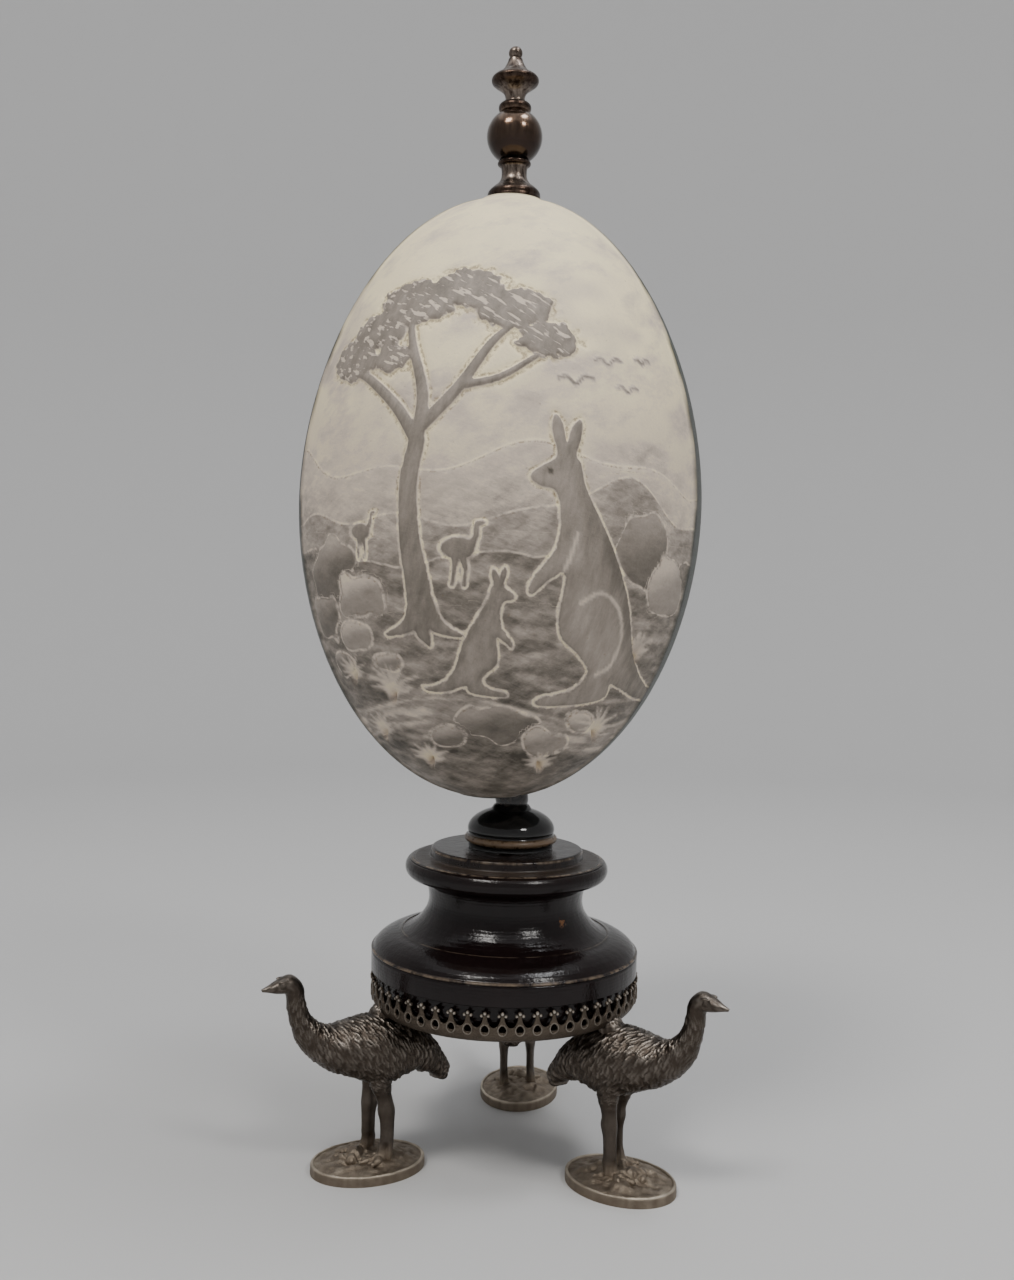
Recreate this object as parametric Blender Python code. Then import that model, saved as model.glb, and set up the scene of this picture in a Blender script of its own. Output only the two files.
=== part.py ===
"""A carved emu egg between a turned finial and a turned knop, on an ebonised socle in a
pierced metal gallery that three cast emus carry. Metres, +Z up, the table at z = 0. The rear
emu faces +Y; the carved front of the egg faces -Y."""

import math

import bmesh
import bpy
from mathutils import Matrix, Vector

MM = 0.001
GAP = 0.3

# Egg, in millimetres: length, width, how far its wide end is below the middle, its fullness
EGG_LENGTH = 130.8
EGG_WIDTH = 87.2
EGG_TAPER = -0.0334
EGG_FULLNESS = 1.9055
EGG_MIDDLE_Z = 143.54
# The egg and the wooden pieces stand a little off the stand's axis and lean towards one side.
# Leans are in radians, shifts in millimetres, and the side is an angle from +X.
LEAN_AZIMUTH = math.radians(7.4)
EGG_LEAN = 0.0278
EGG_SHIFT = -2.05
WOOD_LEAN = 0.0151
WOOD_PIVOT_Z = 35.0
SOCLE_SHIFT = -0.19
KNOP_SHIFT = 0.57

# Rod through the stand and the egg
ROD_RADIUS = 1.5
BORE_RADIUS = ROD_RADIUS + GAP
ROD_BOTTOM_Z = 29.6
ROD_TOP_Z = 215.7
NUT_ACROSS_FLATS = 5.6
NUT_HEIGHT = 2.4

# Ends of the cutters, which reach past the pieces that they cut
WAY_BOTTOM_Z = 20.0
WAY_TOP_Z = 230.0
ROOM_TOP_Z = 45.0

# Gallery: apothems of its upright rim, of the dish's flat bottom, of the edge above that bottom
# and of the floor inside, with thickness, number of motifs and heights
RIM_APOTHEM = 29.35
RIM_THICKNESS = 0.5
MOTIFS = 52
DISH_FLAT = 27.7
DISH_BOTTOM_Z = 33.0
DISH_EDGE = 28.75
DISH_EDGE_Z = 33.7
DISH_FLOOR = 28.3
DISH_FLOOR_Z = 34.2
RIM_STRAIGHT_Z = 35.2
SCALLOP_Z = 36.3

# Socle: radius of its wall, of the rebate that the gallery closes round, and of its foot
SOCLE_WALL = 29.35
SOCLE_REBATE = 28.2
SOCLE_FOOT = 27.0
SOCLE_BOTTOM_Z = DISH_FLOOR_Z + GAP + SOCLE_FOOT * WOOD_LEAN
SOCLE_TOP_Z = 67.15
KNOP_SEAT_Z = SOCLE_TOP_Z + GAP

# Emus: three of them, this far round from one another, with their feet on oval bases
EMUS = 3
BASE_REACH = 31.1
BASE_LENGTH = 24.8
BASE_WIDTH = 18.8
BASE_SIDE_HEIGHT = 1.8
BEAK_REACH = 54.8
MOUND_REACH = 34.0

# The stand's axis lies behind the middle of the whole object's plan
STAND_Y = -(BEAK_REACH - EGG_WIDTH / 2) / 2

# Facets round each turned piece
EGG_SEGMENTS = 34
EGG_RINGS = 18
FINIAL_SEGMENTS = 16
KNOP_SEGMENTS = 22
SOCLE_SEGMENTS = 34
ROD_SEGMENTS = 12


def arc(centre_r, centre_z, size_r, size_z, start, end, steps):
    """Points on an ellipse of a profile, from one angle to another, in degrees."""
    points = []
    for step in range(steps + 1):
        angle = math.radians(start + (end - start) * step / steps)
        points.append((centre_r + size_r * math.cos(angle), centre_z + size_z * math.sin(angle)))
    return points


def egg_profile(grown):
    """The egg's outline from its top to its bottom, about its own middle, grown outwards."""
    half_length = EGG_LENGTH / 2 + grown
    half_width = EGG_WIDTH / 2 + grown
    points = []
    for ring in range(EGG_RINGS + 1):
        along = math.cos(math.pi * ring / EGG_RINGS)
        radius = half_width * math.sqrt(max(0.0, 1 - abs(along) ** EGG_FULLNESS))
        points.append((radius * (1 + EGG_TAPER * along), half_length * along))
    return points


def finial_profile():
    """Tip, cone, disc, neck, collars round the ball, flare, and the foot with its blind bore."""
    return [
        (0.0, 241.2),
        *arc(0.0, 239.75, 1.5, 1.45, 60, -40, 3),
        (2.38, 236.0),
        (3.2, 235.6),
        (4.6, 234.8),
        (5.13, 233.9),
        (4.9, 233.0),
        (3.8, 232.2),
        (2.16, 230.4),
        (2.3, 229.0),
        (3.5, 228.7),
        (3.5, 227.3),
        *arc(0.0, 221.9, 6.05, 5.9, 61, -61, 6),
        (3.53, 216.7),
        (3.53, 215.6),
        (2.75, 214.2),
        (3.9, 212.5),
        (5.7, 211.3),
        (5.7, 207.8),
        (BORE_RADIUS, 207.8),
        (BORE_RADIUS, ROD_TOP_Z + GAP),
        (0.0, ROD_TOP_Z + GAP),
    ]


def knop_profile():
    """Flange under the egg, dome, groove and bead down to the seat on the socle."""
    return [
        (0.0, 79.4),
        (3.5, 79.4),
        (3.66, 77.6),
        (3.5, 76.7),
        (4.6, 76.4),
        *arc(0.0, 71.2, 9.6, 5.0, 58, 0, 4),
        (9.45, 70.5),
        *arc(9.0, 69.3, 1.2, 0.9, 60, -60, 3),
        (9.2, 68.1),
        (9.3, KNOP_SEAT_Z),
        (0.0, KNOP_SEAT_Z),
    ]


def socle_profile():
    """Step, half-round rim, fillet, cove, shoulder, wall, and the rebate inside the gallery."""
    return [
        (0.0, SOCLE_TOP_Z),
        (16.3, SOCLE_TOP_Z),
        (16.7, 66.8),
        (16.8, 64.9),
        (20.6, 64.9),
        *arc(20.5, 62.8, 1.85, 2.1, 60, -75, 5),
        (19.6, 60.3),
        (17.9, 59.8),
        (17.1, 57.4),
        (17.0, 55.4),
        (17.6, 53.3),
        (19.2, 51.0),
        (21.2, 49.4),
        (22.7, 48.7),
        (25.3, 48.1),
        (27.2, 47.2),
        (28.6, 46.1),
        (29.25, 45.1),
        (SOCLE_WALL, 44.4),
        (SOCLE_WALL, 40.4),
        (SOCLE_REBATE, 40.4),
        (SOCLE_REBATE, 37.0),
        (SOCLE_FOOT, SOCLE_BOTTOM_Z),
        (0.0, SOCLE_BOTTOM_Z),
    ]


def seat_profile():
    """The room that the gallery needs in the emus' backs, from above its rim to under its floor."""
    corner = math.cos(math.pi / MOTIFS)
    wide = RIM_APOTHEM / corner + GAP
    return [
        (0.0, ROOM_TOP_Z),
        (wide, ROOM_TOP_Z),
        (wide, RIM_STRAIGHT_Z),
        (DISH_EDGE / corner + GAP, DISH_EDGE_Z - GAP / 2),
        (DISH_FLAT / corner + GAP, DISH_BOTTOM_Z - GAP),
        (0.0, DISH_BOTTOM_Z - GAP),
    ]


# The motif's outline from one scallop to the next: place along the rim, and height
MOTIF_OUTLINE = [
    (-0.6, 37.6),
    (-1.05, 38.6),
    (0.0, 39.6),
    (1.05, 38.6),
    (0.6, 37.6),
]

# The bird's sections from tail to beak: point on its back, point below, half of its breadth,
# with each point given as distance from the stand's axis and height above the table
BIRD_SECTIONS = [
    ((13.5, 17.9), (15.0, 17.0), 1.2),
    ((14.2, 21.8), (17.8, 19.4), 3.6),
    ((17.0, 26.6), (21.4, 20.9), 5.4),
    ((21.2, 30.2), (24.6, 20.2), 6.5),
    ((26.0, 32.6), (27.2, 18.8), 7.0),
    ((31.0, 33.4), (31.4, 19.3), 6.9),
    ((36.0, 32.8), (35.6, 21.0), 6.1),
    ((40.2, 32.2), (40.2, 22.9), 4.9),
    ((42.8, 33.5), (43.8, 25.6), 3.8),
    ((44.6, 35.6), (47.1, 29.6), 2.8),
    ((45.5, 38.6), (48.9, 35.6), 2.0),
    ((46.0, 41.8), (49.5, 39.8), 2.0),
    ((48.3, 44.0), (50.5, 40.2), 2.2),
    ((51.0, 43.3), (51.8, 40.4), 1.8),
    ((53.2, 42.2), (53.4, 40.8), 0.9),
    ((BEAK_REACH, 41.5), (54.6, 41.0), 0.35),
]

# The bird stands a little askew on its base, turned about its tail, in radians
BIRD_YAW = 0.05
TAIL_REACH = 14.0

# One leg's sections, top to bottom: height, share of the way to the hip, forward offset,
# half depth, half breadth
HIP_REACH = 29.5
LEG_SECTIONS = [
    (22.5, 1.0, 0.3, 3.0, 2.4),
    (18.4, 0.9, 0.0, 2.1, 1.6),
    (15.0, 0.3, 0.0, 1.55, 1.15),
    (9.0, 0.0, 0.0, 1.3, 0.9),
    (5.0, 0.0, 0.1, 1.4, 1.0),
    (3.4, 0.0, 0.6, 1.8, 1.3),
    (2.4, 0.0, 0.7, 1.8, 1.3),
]

# Each leg: distance of its shank from the stand's axis, and its side
LEGS = [(30.2, 2.8), (27.9, -3.4)]

# Toes: how far in front of the shank they start, their underside, each one's angle in degrees
# and length, and the sections of one: share of its length, half width and top
TOE_ROOT = 0.6
TOE_UNDER_Z = 2.6
TOES = [(-32, 4.4), (0, 5.6), (32, 4.4)]
TOE_SECTIONS = [(0.0, 0.9, 4.0), (0.6, 0.75, 3.7), (1.0, 0.35, 3.2)]

# Oval base: share of its size, and height
BASE_SECTIONS = [(1.0, 0.0), (1.0, BASE_SIDE_HEIGHT), (0.96, 2.3), (0.45, 3.0)]

# Mound in front of the feet: half width, and height
MOUND_SECTIONS = [(2.6, 2.3), (1.9, 4.3), (0.8, 5.3)]

# Lump that joins the back to the gallery: half width, how far out it reaches, and height
LUG_INSIDE = 24.0
LUG_SECTIONS = [(2.1, 31.1, 31.0), (1.6, 30.3, 33.4), (1.2, 30.1, 34.4)]


def material(name, colour, roughness, metallic):
    made = bpy.data.materials.new(name)
    made.use_nodes = True
    shader = made.node_tree.nodes["Principled BSDF"]
    shader.inputs["Base Color"].default_value = (*colour, 1.0)
    shader.inputs["Roughness"].default_value = roughness
    shader.inputs["Metallic"].default_value = metallic
    return made


def add_object(name, mesh, finish, parent):
    made = bpy.data.objects.new(name, mesh)
    bpy.context.scene.collection.objects.link(made)
    made.parent = parent
    if finish:
        mesh.materials.append(finish)
    return made


def finished_mesh(name, bm, sharp_degrees=35):
    """A mesh from a bmesh, with its faces outwards and shaded smooth up to an angle."""
    bmesh.ops.recalc_face_normals(bm, faces=bm.faces)
    mesh = bpy.data.meshes.new(name)
    bm.to_mesh(mesh)
    bm.free()
    mesh.shade_smooth()
    mesh.set_sharp_from_angle(angle=math.radians(sharp_degrees))
    return mesh


def turned_mesh(name, profile, segments):
    """A profile in millimetres spun about Z. It is open where it meets the axis."""
    bm = bmesh.new()
    corners = [bm.verts.new((radius * MM, 0.0, height * MM)) for radius, height in profile]
    lines = [bm.edges.new(pair) for pair in zip(corners, corners[1:])]
    if profile[0][0] > 0 and profile[-1][0] > 0:
        lines.append(bm.edges.new((corners[-1], corners[0])))
    bmesh.ops.spin(
        bm,
        geom=corners + lines,
        cent=(0, 0, 0),
        axis=(0, 0, 1),
        angle=math.tau,
        steps=segments,
    )
    bmesh.ops.remove_doubles(bm, verts=bm.verts, dist=0.001 * MM)
    return finished_mesh(name, bm)


def cutter(name, mesh, parent):
    made = add_object(name, mesh, None, parent)
    made.hide_render = True
    made.display_type = "WIRE"
    return made


def cut(piece, tool):
    change = piece.modifiers.new(tool.name, "BOOLEAN")
    change.operation = "DIFFERENCE"
    change.object = tool
    change.solver = "EXACT"


def leaning(lean, shift, pivot_z):
    """The place of a piece that leans about a pivot on the stand's axis, after a shift."""
    towards = Vector((math.cos(LEAN_AZIMUTH), math.sin(LEAN_AZIMUTH), 0))
    hinge = Vector((0, 0, 1)).cross(towards)
    pivot = Vector((0, 0, pivot_z * MM))
    turn = Matrix.Rotation(lean, 4, hinge)
    return Matrix.Translation(towards * shift * MM + pivot) @ turn @ Matrix.Translation(-pivot)


def egg_place():
    middle = Vector((0, 0, EGG_MIDDLE_Z * MM))
    return leaning(EGG_LEAN, EGG_SHIFT, EGG_MIDDLE_Z) @ Matrix.Translation(middle)


def gallery_mesh():
    """A flat dish with an upright rim of flat panels, one motif on each."""
    bm = bmesh.new()
    half_step = math.pi / MOTIFS

    def corner(index, apothem, height):
        angle = (2 * index - 1) * half_step
        radius = apothem / math.cos(half_step)
        place = Vector((radius * math.sin(angle), radius * math.cos(angle), height))
        return bm.verts.new(place * MM)

    def on_panel(index, along, apothem, height):
        angle = 2 * index * half_step
        outwards = Vector((math.sin(angle), math.cos(angle), 0))
        sideways = Vector((math.cos(angle), -math.sin(angle), 0))
        return bm.verts.new((outwards * apothem + sideways * along + Vector((0, 0, height))) * MM)

    inner_apothem = RIM_APOTHEM - RIM_THICKNESS
    rows = [
        (DISH_FLAT, DISH_BOTTOM_Z),
        (DISH_EDGE, DISH_EDGE_Z),
        (RIM_APOTHEM, RIM_STRAIGHT_Z),
        (RIM_APOTHEM, SCALLOP_Z),
        (inner_apothem, SCALLOP_Z),
        (inner_apothem, RIM_STRAIGHT_Z),
        (DISH_FLOOR, DISH_FLOOR_Z),
    ]
    columns = [[corner(index, *row) for row in rows] for index in range(MOTIFS)]
    below = bm.verts.new((0, 0, DISH_BOTTOM_Z * MM))
    above = bm.verts.new((0, 0, DISH_FLOOR_Z * MM))
    for index in range(MOTIFS):
        left = columns[index]
        right = columns[(index + 1) % MOTIFS]
        outer = [on_panel(index, along, RIM_APOTHEM, height) for along, height in MOTIF_OUTLINE]
        inner = [on_panel(index, along, inner_apothem, height) for along, height in MOTIF_OUTLINE]
        bm.faces.new((below, left[0], right[0]))
        bm.faces.new((left[0], left[1], right[1], right[0]))
        bm.faces.new((left[1], left[2], right[2], right[1]))
        bm.faces.new([right[2], left[2], left[3], *outer, right[3]])
        bm.faces.new([left[5], right[5], right[4], *reversed(inner), left[4]])
        outer_edge = [left[3], *outer, right[3]]
        inner_edge = [left[4], *inner, right[4]]
        for step in range(len(outer_edge) - 1):
            ring = (outer_edge[step], inner_edge[step], inner_edge[step + 1], outer_edge[step + 1])
            bm.faces.new(ring)
        bm.faces.new((left[5], left[6], right[6], right[5]))
        bm.faces.new((left[6], above, right[6]))
    return finished_mesh("gallery", bm, 30)


def loft(bm, rings):
    """A closed skin over rings of points, with a flat face at each end."""
    skins = [[bm.verts.new(Vector(point) * MM) for point in ring] for ring in rings]
    for first, second in zip(skins, skins[1:]):
        count = len(first)
        for step in range(count):
            after = (step + 1) % count
            bm.faces.new((first[step], first[after], second[after], second[step]))
    bm.faces.new(skins[0])
    bm.faces.new(list(reversed(skins[-1])))
    every = {face for ring in skins for vert in ring for face in vert.link_faces}
    bmesh.ops.recalc_face_normals(bm, faces=list(every))


def bird_rings(count=10):
    """The bird's sections as ovals, in the plane of its back, belly and breadth."""
    rings = []
    for back, belly, half_breadth in BIRD_SECTIONS:
        middle = ((back[0] + belly[0]) / 2, (back[1] + belly[1]) / 2)
        half = ((back[0] - belly[0]) / 2, (back[1] - belly[1]) / 2)
        ring = []
        for step in range(count):
            angle = math.tau * step / count
            rise = math.cos(angle)
            ring.append(
                (
                    half_breadth * math.sin(angle) - BIRD_YAW * (middle[0] - TAIL_REACH),
                    middle[0] + half[0] * rise,
                    middle[1] + half[1] * rise,
                )
            )
        rings.append(ring)
    return rings


def leg_rings(reach, side, count=6):
    """A leg from inside the belly to inside the base, as six-sided sections."""
    rings = []
    for height, share, forward, half_depth, half_breadth in LEG_SECTIONS:
        middle = reach + (HIP_REACH - reach) * share + forward
        ring = []
        for step in range(count):
            angle = math.tau * (step + 0.5) / count
            across = side + half_breadth * math.sin(angle)
            along = middle + half_depth * math.cos(angle)
            ring.append((across, along, height))
        rings.append(ring)
    return rings


def toe_rings(reach, side, angle, length):
    """A toe as a four-sided taper that runs down from the foot to the ground."""
    forward = Vector((math.sin(angle), math.cos(angle), 0))
    sideways = Vector((math.cos(angle), -math.sin(angle), 0))
    root = Vector((side, reach + TOE_ROOT, 0))
    rings = []
    for share, half_width, top in TOE_SECTIONS:
        middle = root + forward * length * share
        corners = [(-1.0, TOE_UNDER_Z), (-0.6, top), (0.6, top), (1.0, TOE_UNDER_Z)]
        ring = []
        for out, height in corners:
            ring.append(middle + sideways * half_width * out + Vector((0, 0, height)))
        rings.append(ring)
    return rings


def base_rings(count=20):
    """The oval base: upright side, rounded edge and a low crown of ground."""
    rings = []
    for share, height in BASE_SECTIONS:
        ring = []
        for step in range(count):
            angle = math.tau * step / count
            across = BASE_WIDTH / 2 * share * math.cos(angle)
            along = BASE_REACH + BASE_LENGTH / 2 * share * math.sin(angle)
            ring.append((across, along, height))
        rings.append(ring)
    return rings


def mound_rings(count=6):
    """The mound of ground in front of the feet."""
    rings = []
    for half_width, height in MOUND_SECTIONS:
        ring = []
        for step in range(count):
            angle = math.tau * step / count
            along = MOUND_REACH + half_width * math.sin(angle)
            ring.append((half_width * math.cos(angle), along, height))
        rings.append(ring)
    return rings


def lug_rings():
    """The lump on the bird's back by which it is soldered to the gallery."""
    rings = []
    for half_width, front, height in LUG_SECTIONS:
        rings.append(
            [
                (-half_width, LUG_INSIDE, height),
                (half_width, LUG_INSIDE, height),
                (half_width, front, height),
                (-half_width, front, height),
            ]
        )
    return rings


def emu_mesh(seat):
    """One casting: bird, legs, toes, mound and base joined, with its back cut to the gallery."""
    bm = bmesh.new()
    loft(bm, bird_rings())
    loft(bm, base_rings())
    loft(bm, mound_rings())
    loft(bm, lug_rings())
    for reach, side in LEGS:
        loft(bm, leg_rings(reach, side))
        for angle, length in TOES:
            loft(bm, toe_rings(reach, side, math.radians(angle), length))
    mesh = bpy.data.meshes.new("emu_parts")
    bm.to_mesh(mesh)
    bm.free()
    parts = add_object("emu_parts", mesh, None, seat.parent)
    cut(parts, seat)
    parts.modifiers[seat.name].use_self = True
    graph = bpy.context.evaluated_depsgraph_get()
    casting = bpy.data.meshes.new_from_object(parts.evaluated_get(graph))
    bpy.data.objects.remove(parts)
    casting.name = "emu"
    casting.shade_smooth()
    casting.set_sharp_from_angle(angle=math.radians(40))
    return casting


def rod_mesh(name, radius, top, bottom):
    return turned_mesh(name, [(0.0, top), (radius, top), (radius, bottom), (0.0, bottom)], ROD_SEGMENTS)


def nut_mesh():
    """A six-sided nut just under the gallery's floor."""
    top = DISH_BOTTOM_Z - GAP
    across_corners = NUT_ACROSS_FLATS / 2 / math.cos(math.pi / 6)
    bm = bmesh.new()
    rings = []
    for radius, height in (
        (BORE_RADIUS, top),
        (across_corners, top),
        (across_corners, top - NUT_HEIGHT),
        (BORE_RADIUS, top - NUT_HEIGHT),
    ):
        ring = []
        for step in range(ROD_SEGMENTS):
            angle = math.tau * step / ROD_SEGMENTS
            reach = radius
            if radius > BORE_RADIUS and step % 2:
                reach = NUT_ACROSS_FLATS / 2
            place = Vector((reach * math.cos(angle), reach * math.sin(angle), height))
            ring.append(bm.verts.new(place * MM))
        rings.append(ring)
    for first, second in zip(rings, rings[1:] + rings[:1]):
        for step in range(ROD_SEGMENTS):
            after = (step + 1) % ROD_SEGMENTS
            bm.faces.new((first[step], first[after], second[after], second[step]))
    return finished_mesh("rod_nut", bm)


def build():
    for old in list(bpy.data.objects):
        bpy.data.objects.remove(old)

    shell = material("eggshell", (0.42, 0.40, 0.35), 0.6, 0.0)
    bronze = material("worn_plate", (0.16, 0.11, 0.08), 0.25, 1.0)
    black = material("black_polish", (0.012, 0.01, 0.01), 0.15, 0.0)
    ebonised = material("ebonised_wood", (0.02, 0.012, 0.012), 0.25, 0.0)
    pewter = material("aged_silver", (0.30, 0.27, 0.23), 0.4, 1.0)
    oxidised = material("oxidised_silver", (0.14, 0.12, 0.10), 0.38, 1.0)
    steel = material("rod_steel", (0.35, 0.34, 0.33), 0.4, 1.0)

    stand = bpy.data.objects.new("stand_axis", None)
    bpy.context.scene.collection.objects.link(stand)
    stand.location = (0, STAND_Y * MM, 0)

    bore = cutter("rod_way", rod_mesh("rod_way", BORE_RADIUS, WAY_TOP_Z, WAY_BOTTOM_Z), stand)
    egg_room = cutter("egg_room", turned_mesh("egg_room", egg_profile(GAP), EGG_SEGMENTS), stand)
    egg_room.matrix_local = egg_place()
    seat = cutter("gallery_room", turned_mesh("gallery_room", seat_profile(), MOTIFS), stand)

    egg = add_object("egg", turned_mesh("egg", egg_profile(0), EGG_SEGMENTS), shell, stand)
    egg.matrix_local = egg_place()
    cut(egg, bore)
    finial_mesh = turned_mesh("finial", finial_profile(), FINIAL_SEGMENTS)
    cut(add_object("finial", finial_mesh, bronze, stand), egg_room)
    knop = add_object("knop", turned_mesh("knop", knop_profile(), KNOP_SEGMENTS), black, stand)
    knop.matrix_local = leaning(WOOD_LEAN, KNOP_SHIFT, WOOD_PIVOT_Z)
    cut(knop, egg_room)
    cut(knop, bore)
    socle = add_object("socle", turned_mesh("socle", socle_profile(), SOCLE_SEGMENTS), ebonised, stand)
    socle.matrix_local = leaning(WOOD_LEAN, SOCLE_SHIFT, WOOD_PIVOT_Z)
    cut(socle, bore)
    cut(add_object("gallery", gallery_mesh(), pewter, stand), bore)
    add_object("tie_rod", rod_mesh("tie_rod", ROD_RADIUS, ROD_TOP_Z, ROD_BOTTOM_Z), steel, stand)
    add_object("rod_nut", nut_mesh(), steel, stand)

    bpy.context.view_layer.update()
    casting = emu_mesh(seat)
    casting.materials.append(oxidised)
    for turn, side in enumerate(("rear", "right", "left")):
        emu = add_object("emu_" + side, casting.copy(), None, stand)
        emu.rotation_euler.z = -math.tau * turn / EMUS


build()
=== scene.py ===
"""A carved emu egg between a turned finial and a turned knop, on an ebonised socle in a pierced
gallery that three cast emus carry. Lengths are in millimetres until they go into a mesh."""

import math

import bmesh
import bpy
import numpy as np
from mathutils import Matrix, Vector
from mathutils.kdtree import KDTree


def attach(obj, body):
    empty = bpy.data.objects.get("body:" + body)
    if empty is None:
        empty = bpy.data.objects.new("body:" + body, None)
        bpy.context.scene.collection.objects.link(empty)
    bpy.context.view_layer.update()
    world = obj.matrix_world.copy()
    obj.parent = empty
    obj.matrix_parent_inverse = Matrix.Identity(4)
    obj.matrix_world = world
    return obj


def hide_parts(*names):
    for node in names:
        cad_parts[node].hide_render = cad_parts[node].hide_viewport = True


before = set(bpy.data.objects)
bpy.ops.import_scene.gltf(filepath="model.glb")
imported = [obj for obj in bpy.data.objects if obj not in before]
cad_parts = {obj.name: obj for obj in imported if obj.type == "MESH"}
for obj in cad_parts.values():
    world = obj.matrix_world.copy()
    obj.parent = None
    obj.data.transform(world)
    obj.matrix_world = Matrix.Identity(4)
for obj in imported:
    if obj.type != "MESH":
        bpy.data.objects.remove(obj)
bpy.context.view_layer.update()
bpy.ops.object.select_all(action="DESELECT")

MM = 0.001

# Stand: where its axis stands behind the middle of the plan, and how the pieces lean on it
STAND_Y = -5.6
LEAN_AZIMUTH = math.radians(7.4)
EGG_LEAN = 0.0278
EGG_SHIFT = -2.05
EGG_MIDDLE_Z = 143.54
WOOD_LEAN = 0.0151
WOOD_PIVOT_Z = 35.0
SOCLE_SHIFT = -0.19
KNOP_SHIFT = 0.57

ON_AXIS = Matrix.Translation((0, STAND_Y * MM, 0))
FROM_CAMERA = Matrix.Rotation(LEAN_AZIMUTH, 4, "Z")

# Egg: half length, half width, how far its wide end is below the middle, its fullness
EGG_HALF_LENGTH = 65.4
EGG_HALF_WIDTH = 43.6
EGG_TAPER = -0.0334
EGG_FULLNESS = 1.9055

# Heights that a turned profile and its finish share
FINIAL_BALL_Z = 221.9
KNOP_BEAD_Z = 69.3
SOCLE_RIDGE_Z = 45.0


# Lines and fields


def arc(centre_r, centre_z, size_r, size_z, start, end, steps):
    """Points on an ellipse of a profile, from one angle to another, in degrees."""
    angles = np.radians(np.linspace(start, end, steps + 1))
    return [(centre_r + size_r * math.cos(a), centre_z + size_z * math.sin(a)) for a in angles]


def flowing(points, steps, closed=False):
    """A smooth line through points, with this many steps from one to the next."""
    points = np.array(points, float)
    if closed:
        padded = np.vstack([points[-1:], points, points[:2]])
    else:
        padded = np.vstack([2 * points[:1] - points[1:2], points, 2 * points[-1:] - points[-2:-1]])
    line = []
    for before, start, end, after in zip(padded, padded[1:], padded[2:], padded[3:]):
        for share in np.arange(steps) / steps:
            straight = (end - before) * share
            bent = (2 * before - 5 * start + 4 * end - after) * share**2
            twisted = (3 * start - before - 3 * end + after) * share**3
            line.append((2 * start + straight + bent + twisted) / 2)
    if not closed:
        line.append(points[-1])
    return np.array(line)


def blend(under, over, share):
    return under * (1 - share) + over * share


def ramp(value, low, high):
    """From 0 at low to 1 at high, eased at both ends."""
    share = np.clip((value - low) / (high - low), 0, 1)
    return share * share * (3 - 2 * share)


def scatter(i, j, seed):
    """A fixed number between 0 and 1 for each cell."""
    mixed = np.sin(i * 12.9898 + j * 78.233 + seed * 37.719) * 43758.5453
    return mixed - np.floor(mixed)


def mottle(x, y, seed=0):
    """A soft patchy field between 0 and 1, with patches about one unit across."""
    i, j = np.floor(x), np.floor(y)
    across, up = ramp(x - i, 0, 1), ramp(y - j, 0, 1)
    low = scatter(i, j, seed) * (1 - across) + scatter(i + 1, j, seed) * across
    high = scatter(i, j + 1, seed) * (1 - across) + scatter(i + 1, j + 1, seed) * across
    return low * (1 - up) + high * up


def strokes(across, along, width, length, seed=0):
    """Overlapping strokes like barbs of feather: each rises along its length and then drops."""
    column = np.floor(across / width)
    start = scatter(column, 0 * column, seed)
    share = along / length + start
    row = np.floor(share)
    share = share - row
    side = 2 * (across / width - column) - 1
    height = 0.6 + 0.4 * scatter(column, row, seed + 1)
    return height * (1 - side * side) * ramp(share, 0, 0.75) * ramp(share, 1.0, 0.85)


def line_gap(x, y, line, radii=None):
    """Distance to an open line, less its radius there where it has one."""
    least = np.full(x.shape, 1e3)
    if radii is None:
        radii = np.zeros(len(line))
    for (ax, ay), (bx, by), ra, rb in zip(line, line[1:], radii, radii[1:]):
        step_x, step_y = bx - ax, by - ay
        share = ((x - ax) * step_x + (y - ay) * step_y) / (step_x**2 + step_y**2)
        share = np.clip(share, 0, 1)
        apart = np.hypot(x - ax - share * step_x, y - ay - share * step_y)
        least = np.minimum(least, apart - ra - (rb - ra) * share)
    return least


def shape_gap(x, y, outline):
    """Distance to a closed outline, negative inside it."""
    outline = np.vstack([outline, outline[:1]])
    apart = line_gap(x, y, outline)
    inside = np.zeros(x.shape, bool)
    for (ax, ay), (bx, by) in zip(outline, outline[1:]):
        if ay != by:
            crosses = (ay > y) != (by > y)
            inside ^= crosses & (x < ax + (y - ay) * (bx - ax) / (by - ay))
    return np.where(inside, -apart, apart)


def oval_gap(x, y, at_x, at_y, half_x, half_y):
    """Roughly the distance to an oval, negative inside it."""
    reach = np.hypot((x - at_x) / half_x, (y - at_y) / half_y)
    return (reach - 1) * min(half_x, half_y)


# Meshes


def begin(name):
    """Name the primitive that was just added and open it with all of it selected."""
    piece = bpy.context.active_object
    piece.name = name
    piece.data.name = name
    bpy.ops.object.mode_set(mode="EDIT")
    bpy.ops.mesh.select_all(action="SELECT")
    return piece


def close():
    bpy.ops.object.mode_set(mode="OBJECT")
    choose()


def choose(*pieces):
    """Select these pieces alone, or nothing."""
    bpy.ops.object.select_all(action="DESELECT")
    for piece in pieces:
        piece.select_set(True)
    if pieces:
        bpy.context.view_layer.objects.active = pieces[0]


def apply(piece, kind, **settings):
    """Add a modifier with these settings and apply it."""
    choose(piece)
    change = piece.modifiers.new(kind.lower(), kind)
    for setting, value in settings.items():
        setattr(change, setting, value)
    bpy.ops.object.modifier_apply(modifier=change.name)


def join(name, pieces):
    choose(*pieces)
    bpy.ops.object.join()
    joined = bpy.context.active_object
    joined.name = name
    joined.data.name = name
    choose()
    return joined


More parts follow.
